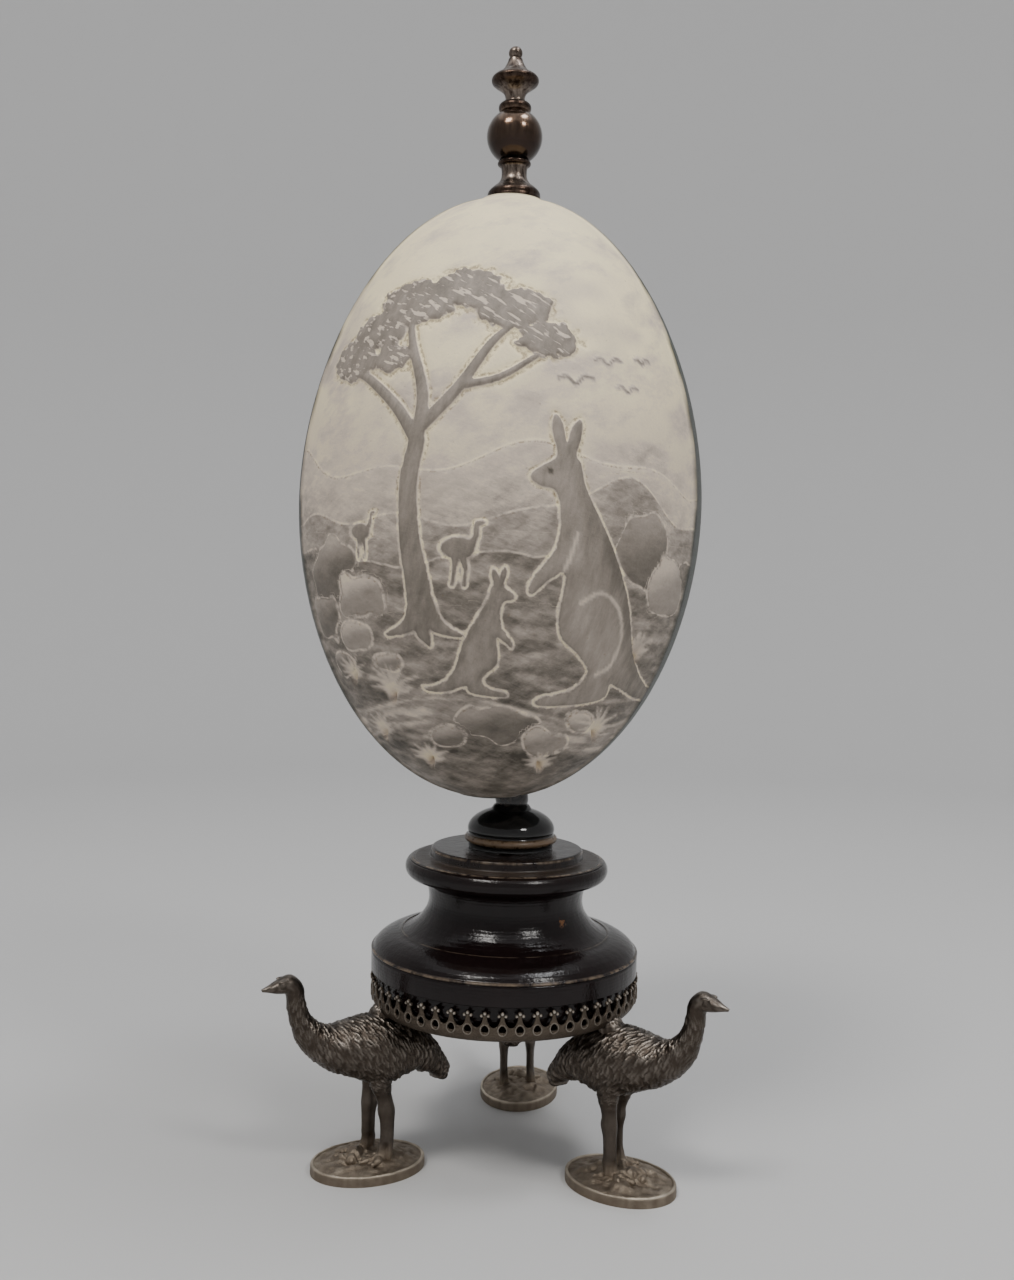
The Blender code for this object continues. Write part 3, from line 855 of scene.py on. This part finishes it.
def toe(reach, side, angle, length):
    forward = np.array([math.sin(angle), math.cos(angle), 0])
    rings = []
    for share, width, top in flowing(TOE_SECTIONS, 3):
        centre = np.array([side, reach + 0.6, (top + TOE_BOTTOM) / 2]) + forward * length * share
        angles = np.arange(10) / 10 * math.tau
        sideways = np.outer(np.cos(angles) * width, [forward[1], -forward[0], 0])
        upright = np.outer(np.sin(angles) * (top - TOE_BOTTOM) / 2, [0, 0, 1])
        rings.append(centre + sideways + upright)
    return skin("toe", rings)


def lump(name, centre, size):
    bpy.ops.mesh.primitive_uv_sphere_add(segments=20, ring_count=12, radius=MM)
    piece = begin(name)
    bpy.ops.transform.resize(value=size)
    bpy.ops.transform.translate(value=[value * MM for value in centre])
    close()
    return piece


def emu_casting():
    """Model one bird, melt its parts together, then chase the feathers into it."""
    parts = [skin("bird", bird_rings(4)[0])]
    for reach, side in LEGS:
        parts.append(leg(reach, side))
        for angle, length in TOES:
            parts.append(toe(reach, side, math.radians(angle), length))
    for x, y, size in ROCKS:
        parts.append(lump("rock", (x, y, 2.6), (size, size * 0.8, size)))
    parts.append(lump("back_lump", (0, 28.3, 33.0), (3.0, 2.5, 2.0)))
    for side in (-1, 1):
        x = side * 1.75 - BIRD_YAW * 36.4
        parts.append(lump("eye", (x, EYE_Y, EYE_Z), (0.45, 0.6, 0.5)))
        parts.append(lump("brow", (x * 0.98, EYE_Y - 0.3, EYE_Z + 0.7), (0.5, 1.2, 0.4)))
    bird = join("emu", parts)
    apply(bird, "REMESH", mode="VOXEL", voxel_size=VOXEL * MM)
    apply(bird, "SMOOTH", factor=0.5, iterations=4)
    chase(bird)
    whole = join("emu", [bird, emu_base()])
    finish_casting(whole)
    return whole


def along_bird(points):
    """How far each point is from the tail along the bird, and how far round it from its back."""
    rings, lengths = bird_rings(12)
    tree = KDTree(len(rings) * len(rings[0]))
    for ring, length in zip(rings, lengths):
        for place in ring:
            tree.insert(place, int(length * 1000))
    tree.balance()
    along = np.empty(len(points))
    for index, point in enumerate(points):
        total = weights = 0
        for _, length, gap in tree.find_n(point, 5):
            weight = 1 / (gap + 0.1) ** 2
            total += length * weight
            weights += weight
        along[index] = total / weights / 1000
    rings = np.array(rings)
    middles = (rings[:, 0] + rings[:, len(rings[0]) // 2]) / 2
    ups = rings[:, 0] - middles
    ups /= np.linalg.norm(ups, axis=1)[:, None]
    from_middle = points - np.column_stack([np.interp(along, lengths, part) for part in middles.T])
    up = np.column_stack([np.interp(along, lengths, part) for part in ups.T])
    above = (from_middle * up).sum(axis=1)
    aside = np.abs(from_middle[:, 0])
    return along, np.arctan2(aside, above) * np.hypot(aside, above)


def chase(bird):
    """Cut the feathers, the face and the stones, and keep how much each point stands out."""
    points = places(bird)
    x, y, z = points.T
    along, round_bird = along_bird(points)
    plumed = ramp(z, 16.4, 18.6)

    # Each part of the bird has its feathers at its own slant: body, chest, neck
    feathers = np.zeros(len(points))
    wavy = 0.5 * mottle(along / 1.6, round_bird / 2.4, 3) + 0.3 * mottle(along / 0.8, round_bird, 4)
    for start, end, slant, width, length in FEATHERS:
        across = along * math.sin(slant) + round_bird * math.cos(slant) + wavy
        down = round_bird * math.sin(slant) - along * math.cos(slant)
        barbs = strokes(across, down, width, length, 5)
        barbs = barbs + 0.5 * strokes(across + 0.3, down, width * 0.62, length * 0.6, 9)
        feathers += barbs * ramp(along, start, start + 4) * (1 - ramp(along, end, end + 4)) * plumed
    fringe = ramp(z, 24.0, 20.5) * ramp(y, 27.5, 24.5) * plumed
    fringe = fringe * strokes(y + 0.2 * np.abs(x), along, 1.0, 9.0, 2)
    height = 0.3 * feathers * (1 - 0.3 * ramp(along, 33, 40)) + 0.8 * fringe

    # The beak's slit, the eye sockets and the rough ground round the feet
    above_slit = np.abs(z - 41.75 + 0.17 * (y - 51.5))
    slit = ramp(y, 51.2, 51.8) * ramp(above_slit, 0.3, 0.05)
    from_eye = np.hypot(y - EYE_Y, z - EYE_Z)
    socket = ramp(from_eye, 0.45, 0.7) * ramp(from_eye, 1.1, 0.8)
    rough = ramp(z, 7.0, 5.2)
    stony = mottle(x / 1.5, y / 1.5, 6) + 0.6 * mottle(x / 0.6, y / 0.6, 7)
    height = height - 0.18 * slit - 0.2 * socket + 0.6 * rough * (stony - 0.8)
    put(bird, points + normals(bird) * height[:, None])
    shanks = 0.42 * ramp(z, 18.0, 15.0) * (1 - rough)
    speckled = 0.75 * mottle(along / 0.8, round_bird / 0.5, 13) + 0.15
    face = ramp(along, 45.5, 47.5) * plumed * speckled
    note(bird, "crest", 0.9 * feathers - 0.16 + face + shanks + 0.35 * rough * stony)


def emu_base():
    """Oval plate with a rolled edge, and rough ground that rises to the feet."""
    edge = [(1.0, 0.0), (1.003, 0.5), (0.998, 1.1), (1.0, 1.5)]
    roll = arc(0.965, 1.62, 0.035, 0.55, 20, 160, 7)
    shares = (0.9, 0.8, 0.7, 0.6, 0.5, 0.4, 0.3, 0.2, 0.1, 0.03)
    heights = (1.95, 2.1, 2.3, 2.55, 2.75, 2.95, 3.1, 3.2, 3.25, 3.27)
    angles = np.arange(112) / 112 * math.tau
    rings = []
    for share, height in [*edge, *roll, *flowing(list(zip(shares, heights)), 3)]:
        x = BASE_HALF[0] * share * np.cos(angles)
        y = BASE_HALF[1] * share * np.sin(angles) + BASE_REACH
        rings.append(np.column_stack([x, y, np.full(len(angles), height)]))
    base = skin("base", rings)
    points = places(base)
    x, y, z = points.T
    out = np.hypot(x / BASE_HALF[0], (y - BASE_REACH) / BASE_HALF[1])
    inner = ramp(out, 0.92, 0.6)
    dips = mottle(x / 2.6, y / 2.6, 11) - 0.5
    grit = mottle(x / 0.8, y / 0.8, 12) - 0.5
    z += np.where(z > 1.8, inner * (1.3 * dips + 0.5 * grit) + 0.16 * grit, 0)
    put(base, points)
    rubbed = ramp(out, 0.91, 0.96) * ramp(z, 1.7, 2.0)
    note(base, "crest", 0.12 + 0.4 * grit + (0.55 + 0.5 * dips) * rubbed)
    return base


def finish_casting(emu):
    """Work out where the metal is rubbed bright, where it is brightened as painted highlight
    because it faces up, and where it is base.
    """
    x, y, z = places(emu).T
    crest = np.empty(len(x), np.float32)
    emu.data.attributes["crest"].data.foreach_get("value", crest)
    # Painted highlight: points that face up are made brighter, as if lit from above; the crests are
    # rubbed bright.
    painted_top_light = ramp(normals(emu)[:, 2], -0.3, 0.9)
    patchy = mottle(y / 3.0, z / 3.0 + x / 3.0, 21)
    note(emu, "worn", np.clip(crest * (0.45 + 0.7 * painted_top_light) * (0.5 + 0.8 * patchy), 0, 1))
    note(emu, "ground", ramp(z, 7.0, 3.4))
    smooth(emu, 60)


def emus():
    first = emu_casting()
    metal = oxidised_silver()
    for turn, side in enumerate(("rear", "right", "left")):
        place = ON_AXIS @ Matrix.Rotation(-math.tau * turn / 3, 4, "Z")
        emu = copied(first, "emu_casting_" + side, place)
        hand_over(emu, metal, "oxidised_silver", "emu_" + side)
    bpy.data.objects.remove(first)


# Egg

EGG_AROUND = 298
EGG_RINGS = 330
PANEL_AZIMUTH = math.radians(-85.2)
PANEL_HALF_ANGLE = 1.253
PANEL_HALF_HEIGHT = 64.6
FRONT_DENSITY = 0.5

# A kangaroo that stands facing -x, with its heels at the origin, 42 tall
KANGAROO = [
    (-7.4, 34.3), (-6, 35.7), (-3.8, 37), (-3.4, 38.2), (-4.3, 41.4), (-4, 43.9),
    (-2.7, 42.6), (-1.9, 39.6), (-1.2, 42), (0.3, 43.4), (0.5, 41), (-0.3, 37.8), (0.5, 36.6),
    (1.4, 33.2), (3.6, 29.3), (7, 23.6), (10.2, 17), (12, 11), (13.4, 7.2), (16.5, 3.6),
    (22, 1.2), (25, 1), (22, -0.4), (16, 0), (11.2, 1.8), (8.4, 2.6), (7.6, 0.4),
    (3, -0.6), (-4.4, -1), (-4.8, 0.2), (1, 1.6), (3.6, 4.6), (1.6, 7.4), (-1.4, 10),
    (-2, 14), (-1.2, 18), (-1.8, 20.2), (-5.4, 17.6), (-6.6, 16.6), (-7, 17.8),
    (-5.6, 20), (-3.4, 23), (-2.4, 26), (-2.6, 30), (-3.6, 32.4), (-6.2, 33),
]
THIGH_LINE = [(1.4, 15.5), (5, 17.2), (8.4, 15), (9.6, 10.6), (8, 6), (5, 4.2)]
ARM_LINE = [(0.4, 26), (-0.6, 22.6), (-1.6, 20.4)]

# Where each kangaroo stands, how large it is, and -1 for the one that faces +x
BIG_KANGAROO = (17, -41, 1.25)
SMALL_KANGAROO = (1.5, -40, 0.56, -1)
KANGAROO_EYE = (-4.3, 35.2)

# Gum tree: limbs as lines with a radius at each point
LIMBS = [
    [(-12.6, -26, 2.6), (-13.6, -19, 2.5), (-15.4, -10, 2.1), (-16, 0, 1.9), (-14.6, 8, 1.7)],
    [(-13.2, -23, 2.2), (-15.6, -27.4, 1.3), (-20.5, -29.4, 0.3)],
    [(-12.6, -25, 2), (-12.2, -28.5, 1.3), (-10.8, -31, 0.3)],
    [(-12.2, -23, 2.2), (-9.4, -27, 1.3), (-4.4, -28.8, 0.3)],
    [(-14.6, 8, 1.4), (-20, 15, 1.15), (-28, 21, 0.9), (-33, 22, 0.6)],
    [(-14.8, 7, 1.5), (-14, 17, 1.2), (-17, 27, 0.9), (-18, 33, 0.6)],
    [(-14.6, 10, 1.3), (-7, 18, 1.1), (-1, 27, 0.8), (3, 31, 0.5)],
    [(-6.4, 18.6, 0.8), (1, 20.4, 0.65), (8, 25, 0.5)],
]
# Leaves and boulders are ovals: middle and half sizes. The rest has its foot and its size.
CROWNS = [
    (-33, 25, 7.5, 4.4), (-26, 30.5, 7, 4.2), (-17, 36, 9, 4.8), (-6, 38.5, 7.5, 4),
    (3, 34.5, 7.5, 4.2), (10, 28.5, 6, 3.6), (-22, 24.5, 4.6, 2.6),
]
BOULDERS = [
    (-37, -17, 8, 6.4), (-28, -22, 6.2, 4.6), (-41, -27, 6.5, 4.8), (-30, -30, 5, 3),
    (34, -12, 9, 7), (43, -18, 7, 6), (3, -46, 7.6, 4), (12, -50, 5, 2.8),
    (-8, -50, 4.2, 2.4), (21, -46, 4.2, 2.5), (-36, -36, 4.4, 2.6), (-21, -35, 3.4, 2),
]
TUSSOCKS = [
    (-20, -43, 8.5), (-32, -40, 6.5), (26, -50, 8), (-1, -36, 5), (35, -33, 6.5),
    (-12, -57, 6), (-25, -52, 6.5), (12, -57, 5),
]
SMALL_BIRDS = [(16, 20, 3.6), (23, 24.5, 3.0), (28, 19.5, 2.6), (32, 26, 2.2)]
WINGS = [(-1.0, 0.25), (-0.55, 0.42), (0.0, 0.0), (0.5, 0.5), (1.05, 0.4)]
FAR_EMUS = [(-5.5, -19.0, 0.95), (-27.0, -14.5, 0.7)]
# A far emu's neck and legs: lines with a radius at each point
FAR_EMU_LIMBS = [
    ([(2.4, 7.6), (3.6, 9.6), (3.7, 12.2), (5, 12.6)], [0.9, 0.5, 0.4, 0.3]),
    ([(-0.4, 6), (-0.6, 3), (-1, 0)], [0.8, 0.35, 0.3]),
    ([(0.8, 6), (1.8, 3), (1.4, 0)], [0.8, 0.35, 0.3]),
]
FAR_AWAY = 9.0


def egg_radius(share):
    body = np.sqrt(np.maximum(0, 1 - np.abs(share) ** EGG_FULLNESS))
    return EGG_HALF_WIDTH * body * (1 + EGG_TAPER * share)


def placed(outline, x, y, size, flip=1):
    outline = np.array(outline, float)
    return np.column_stack([x + outline[:, 0] * size * flip, y + outline[:, 1] * size])


def carve(x, y):
    """The panel's tones, outlines and depths at points of the egg's front, in millimetres."""
    streaks = mottle(x / 9 + y / 30, y / 1.6, 31) * 0.6 + mottle(x / 4, y / 0.9, 32) * 0.4
    drift = mottle(x / 14 + y / 20, y / 8, 33) * 0.6 + mottle(x / 6, y / 4, 34) * 0.4
    tone = 0.97 - 0.17 * ramp(y, 34, -2) - 0.18 * ramp(drift, 0.45, 0.85) * ramp(y, 60, 30)
    depth = 0.62 + 0.06 * drift
    crease = np.full(x.shape, FAR_AWAY)

    # Two ranges of hills and the ground, with a paler bend across it and a dark foot
    far_hill = y - (4.5 + 3.0 * np.sin(x / 12 + 0.5) + 1.4 * np.sin(x / 4.7))
    near_hill = y - (-7 + 9 * np.exp(-(((x - 27) / 15) ** 2)) + 1.1 * np.sin(x / 3.9))
    ground = y - (-15 + 1.6 * np.sin(x / 8 + 1) + 1.2 * mottle(x / 3, x * 0, 35))
    earth = 0.23 + 0.26 * ramp(streaks, 0.35, 0.8) - 0.14 * ramp(y, -25, -55)
    for gap, shade, cut in (
        (far_hill, 0.6 + 0.16 * ramp(far_hill, -14, 0) + 0.1 * (drift - 0.5), 0.46),
        (near_hill, 0.38 + 0.24 * ramp(near_hill, -12, 0) * mottle(x / 7, y / 9, 36), 0.36),
        (ground, earth, 0.42 + 0.12 * streaks),
    ):
        share = ramp(gap, 0.15, -0.35)
        tone = blend(tone, shade, share)
        depth = blend(depth, cut, share)
        crease = np.where(np.abs(gap) < np.abs(crease), gap, np.where(gap < 0, FAR_AWAY, crease))
    bend = y + 47 - 3.0 * np.sin(x / 11 + 2.2)
    share = 1 - ramp(np.abs(bend) - 3.4, -0.8, 0.6)
    tone = blend(tone, 0.4 + 0.3 * ramp(mottle(x / 7, bend / 0.8, 37), 0.45, 0.8), share)
    depth = depth + 0.1 * share
    foot = ramp(y + 2.5 * mottle(x / 8, y * 0, 38), -52, -58)
    tone = blend(tone, 0.2 + 0.1 * streaks, foot)

    # Boulders, every other one paler, and tussocks of grass
    stony = np.zeros(x.shape)
    for index, (at_x, at_y, half_x, half_y) in enumerate(BOULDERS):
        wobble = 0.6 * half_y * (mottle(x / 3.6, y / 3.6, at_x) - 0.5)
        gap = oval_gap(x, y, at_x, at_y, half_x, half_y) + wobble
        share = ramp(gap, 0.1, -0.3)
        lit = (y - at_y) / half_y - 0.4 * (x - at_x) / half_x
        pale = 0.24 if index % 2 else 0.0
        shade = 0.18 + pale + 0.42 * ramp(lit, -0.3, 1.0) * (0.5 + 0.7 * drift)
        tone = blend(tone, shade, share)
        depth = blend(depth, 0.24 + 0.1 * ramp(gap, -2.5, 0), share)
        crease = np.where(gap < 0.8, gap, crease)
        stony = np.maximum(stony, share)
    for at_x, at_y, size in TUSSOCKS:
        for blade in range(17):
            turn = math.radians(-64 + 8 * blade + 5 * math.sin(blade * 2.7))
            reach = size * (0.75 + 0.25 * math.sin(blade * 1.9))
            bent = (0.45 * math.sin(turn * 0.7), 0.6 * math.cos(turn * 0.7))
            line = placed([(0, 0), bent, (math.sin(turn), math.cos(turn))], at_x, at_y, reach)
            share = 1 - ramp(line_gap(x, y, line, [0.4, 0.4, 0.1]), -0.3, 0.4)
            tone = blend(tone, 0.84, 0.8 * share)
            depth = depth + 0.14 * share

    # Gum tree
    figure = np.full(x.shape, FAR_AWAY)
    for limb in LIMBS:
        rows = flowing(limb, 4)
        figure = np.minimum(figure, line_gap(x, y, rows[:, :2], rows[:, 2]))
    crown = np.full(x.shape, FAR_AWAY)
    for oval in CROWNS:
        crown = np.minimum(crown, oval_gap(x, y, *oval))
    crown += 1.1 * mottle(x / 1.5, y / 1.3, 41) + 0.8 * mottle(x / 0.8, y / 0.8, 42) - 0.95
    leafy = ramp(crown, 0.2, -0.5)
    figure = np.minimum(figure, crown)
    shade = 0.24 + 0.1 * drift + 0.04 * ramp(y, -40, 30)

    # Kangaroos, the big one paler along its middle and with lines for its thigh and arm
    big_gap = shape_gap(x, y, flowing(placed(KANGAROO, *BIG_KANGAROO), 3, True))
    small_gap = shape_gap(x, y, flowing(placed(KANGAROO, *SMALL_KANGAROO), 3, True))
    for gap in (big_gap, small_gap):
        figure = np.where(gap < 0.5, gap, np.minimum(figure, gap))
        leafy = np.where(gap < 0.5, 0, leafy)
    side = 14.5 + (5 - y) * 0.31 - x
    lit = 0.1 * ramp(big_gap, -0.6, -4.0) + 0.08 * ramp(side, -1, 4) - 0.08 * ramp(side, -2, -6)
    shade = shade + lit * (big_gap < 0) + 0.1 * ramp(small_gap, -0.4, -2.0) * (small_gap < 0)
    for line in (THIGH_LINE, ARM_LINE):
        inner = line_gap(x, y, flowing(placed(line, *BIG_KANGAROO), 4))
        shade = blend(shade, 0.8, 0.8 - 0.8 * ramp(inner, 0.15, 0.65))
        figure = np.where(inner < 0.4, np.maximum(figure, -0.7), figure)
    eye_x, eye_y = placed([KANGAROO_EYE], *BIG_KANGAROO)[0]
    shade = shade - 0.36 * (1 - ramp(np.hypot(x - eye_x, y - eye_y), 0.35, 0.75))

    for at_x, at_y, size in SMALL_BIRDS:
        gap = line_gap(x, y, flowing(placed(WINGS, at_x, at_y, size), 3))
        mark = ramp(gap, 0.5, 0.15)
        tone = blend(tone, 0.36, mark)
        depth = depth - 0.12 * mark
    for at_x, at_y, size in FAR_EMUS:
        body = oval_gap(x, y, at_x, at_y + 7.2 * size, 3.4 * size, 2.1 * size)
        figure = np.minimum(figure, body)
        for line, radii in FAR_EMU_LIMBS:
            gap = line_gap(x, y, placed(line, at_x, at_y, size), [size * each for each in radii])
            figure = np.minimum(figure, gap)

    inside = ramp(figure, 0.05, -0.25)
    beside = ramp(figure, 0.0, 0.25) * ramp(figure, 1.3, 0.5)
    tangle = strokes(y * 0.8 - x * 0.5 + mottle(x / 3, y / 3, 44), x * 0.8 + y * 0.5, 2.3, 6.0, 43)
    raised = 0.2 + leafy * 0.16 * (1 - tangle)
    depth = blend(depth, raised, inside) + 0.18 * beside
    return {
        "back_tone": tone + 0.1 * beside,
        "figure_tone": shade,
        "figure": np.clip(figure, -3, 3),
        "crease": np.clip(crease, -3, 3),
        "leafy": leafy - stony * (1 - inside),
        "depth": depth,
    }


def egg():
    bpy.ops.mesh.primitive_uv_sphere_add(segments=EGG_AROUND, ring_count=EGG_RINGS, radius=1)
    piece = bpy.context.active_object
    piece.name = "emu_eggshell"
    piece.data.name = "emu_eggshell"
    ball = places(piece) * MM
    turn = np.arctan2(ball[:, 1], ball[:, 0]) - PANEL_AZIMUTH
    turn = (turn + math.pi) % math.tau - math.pi
    azimuth = FRONT_DENSITY * turn + (1 - FRONT_DENSITY) * turn**3 / math.pi**2
    fine = np.linspace(0, math.pi, 2001)
    meridian = np.column_stack([egg_radius(np.cos(fine)), EGG_HALF_LENGTH * np.cos(fine)])
    lengths = np.concatenate([[0], np.cumsum(np.hypot(*np.diff(meridian, axis=0).T))])
    polar = np.arccos(np.clip(ball[:, 2], -1, 1)) / math.pi * lengths[-1]
    share = np.cos(np.interp(polar, lengths, fine))
    radius = egg_radius(share)
    height = EGG_HALF_LENGTH * share
    heading = PANEL_AZIMUTH + azimuth
    put(piece, np.column_stack([radius * np.cos(heading), radius * np.sin(heading), height]))
    outward = normals(piece)

    x, y = radius * azimuth, height
    wobble = 0.4 * (mottle(height / 6, azimuth * 0, 51) - 0.5)
    side_rim = radius * (PANEL_HALF_ANGLE - np.abs(azimuth)) + wobble
    rim = np.minimum(side_rim, 2.2 * (PANEL_HALF_HEIGHT - np.abs(height)))
    carving = carve(x, y)
    cut = ramp(rim, 0.0, 0.9)
    depth = carving.pop("depth") * cut
    pebbled = 0.05 * mottle(heading * 60, height / 0.7, 52) * (1 - cut)
    put(piece, places(piece) - outward * (depth + pebbled)[:, None])
    for name, values in carving.items():
        note(piece, name, values)
    note(piece, "skin", ramp(rim, 0.35, 0.0))
    smooth(piece, 80)
    lift = Matrix.Translation((0, 0, EGG_MIDDLE_Z * MM))
    piece.data.transform(leaning(EGG_LEAN, EGG_SHIFT, EGG_MIDDLE_Z) @ lift)
    hand_over(piece, eggshell(), "eggshell", "egg")


def fittings():
    """The rod and its nut are as in the CAD, with a brushed coat."""
    steel = rod_steel()
    for name in ("tie_rod", "rod_nut"):
        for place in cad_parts[name].material_slots:
            place.material = steel


# Photographer's stage

CAMERA_PLACE = (-0.29, -285.7, 124.1)
CAMERA_PITCH = math.radians(90 - 2.25)
CAMERA_ROLL = math.radians(0.72)
CAMERA_LENS = 36.56
EGG_MIDDLE = Vector((0, STAND_Y * MM, EGG_MIDDLE_Z * MM))
LAMP_DISTANCE = 0.85
# Each lamp's direction from the egg, size, power and colour
LAMPS = [
    ((-0.32, -0.46, 0.83), (0.22, 0.22), 3.3, (1.0, 0.97, 0.93)),
    ((0.5, -0.55, 0.665), (0.16, 0.16), 1.8, (1.0, 0.98, 0.95)),
    ((0.38, -0.04, 0.925), (0.3, 0.14), 2.0, (0.97, 0.98, 1.0)),
]
FLOOR_TONE = (0.56, 0.56, 0.56)
SKY_COLOUR = (0.97, 0.98, 1.0, 1.0)
SKY_STRENGTH = 0.95


def camera():
    bpy.ops.object.camera_add()
    made = bpy.context.active_object
    place = ON_AXIS @ FROM_CAMERA @ Matrix.Translation(Vector(CAMERA_PLACE) * MM)
    turn = Matrix.Rotation(CAMERA_PITCH, 4, "X") @ Matrix.Rotation(CAMERA_ROLL, 4, "Z")
    made.matrix_world = place @ turn
    made.data.lens = CAMERA_LENS
    made.data.sensor_width = 36
    made.data.clip_start = 0.01
    bpy.context.scene.camera = made


def softbox(direction, size, power, colour):
    """A lamp in this direction from the egg, seen from the camera's side, that faces it."""
    aim = FROM_CAMERA @ Vector(direction)
    bpy.ops.object.light_add(type="AREA", location=EGG_MIDDLE + aim * LAMP_DISTANCE)
    lamp = bpy.context.active_object
    lamp.data.shape = "RECTANGLE"
    lamp.data.size, lamp.data.size_y = size
    lamp.data.energy = power
    lamp.data.color = colour
    lamp.rotation_euler = (-aim).to_track_quat("-Z", "Y").to_euler()


def stage():
    """A pale round floor that sweeps up into a wall all the way round."""
    profile = [(0, 0), (500, 0), *arc(600, 400, 400, 400, -90, 0, 24), (1000, 1400)]
    floor = turned("stage_floor", profile, 96)
    floor.data.flip_normals()
    coat = Coat("stage_paint")
    floor.data.materials.append(coat.wear(FLOOR_TONE, 0.75))
    world = bpy.data.worlds.new("studio")
    world.use_nodes = True
    sky = world.node_tree.nodes["Background"]
    sky.inputs["Color"].default_value = SKY_COLOUR
    sky.inputs["Strength"].default_value = SKY_STRENGTH
    bpy.context.scene.world = world
    for lamp in LAMPS:
        softbox(*lamp)


finial()
knop()
socle()
gallery()
emus()
egg()
fittings()
stage()
camera()
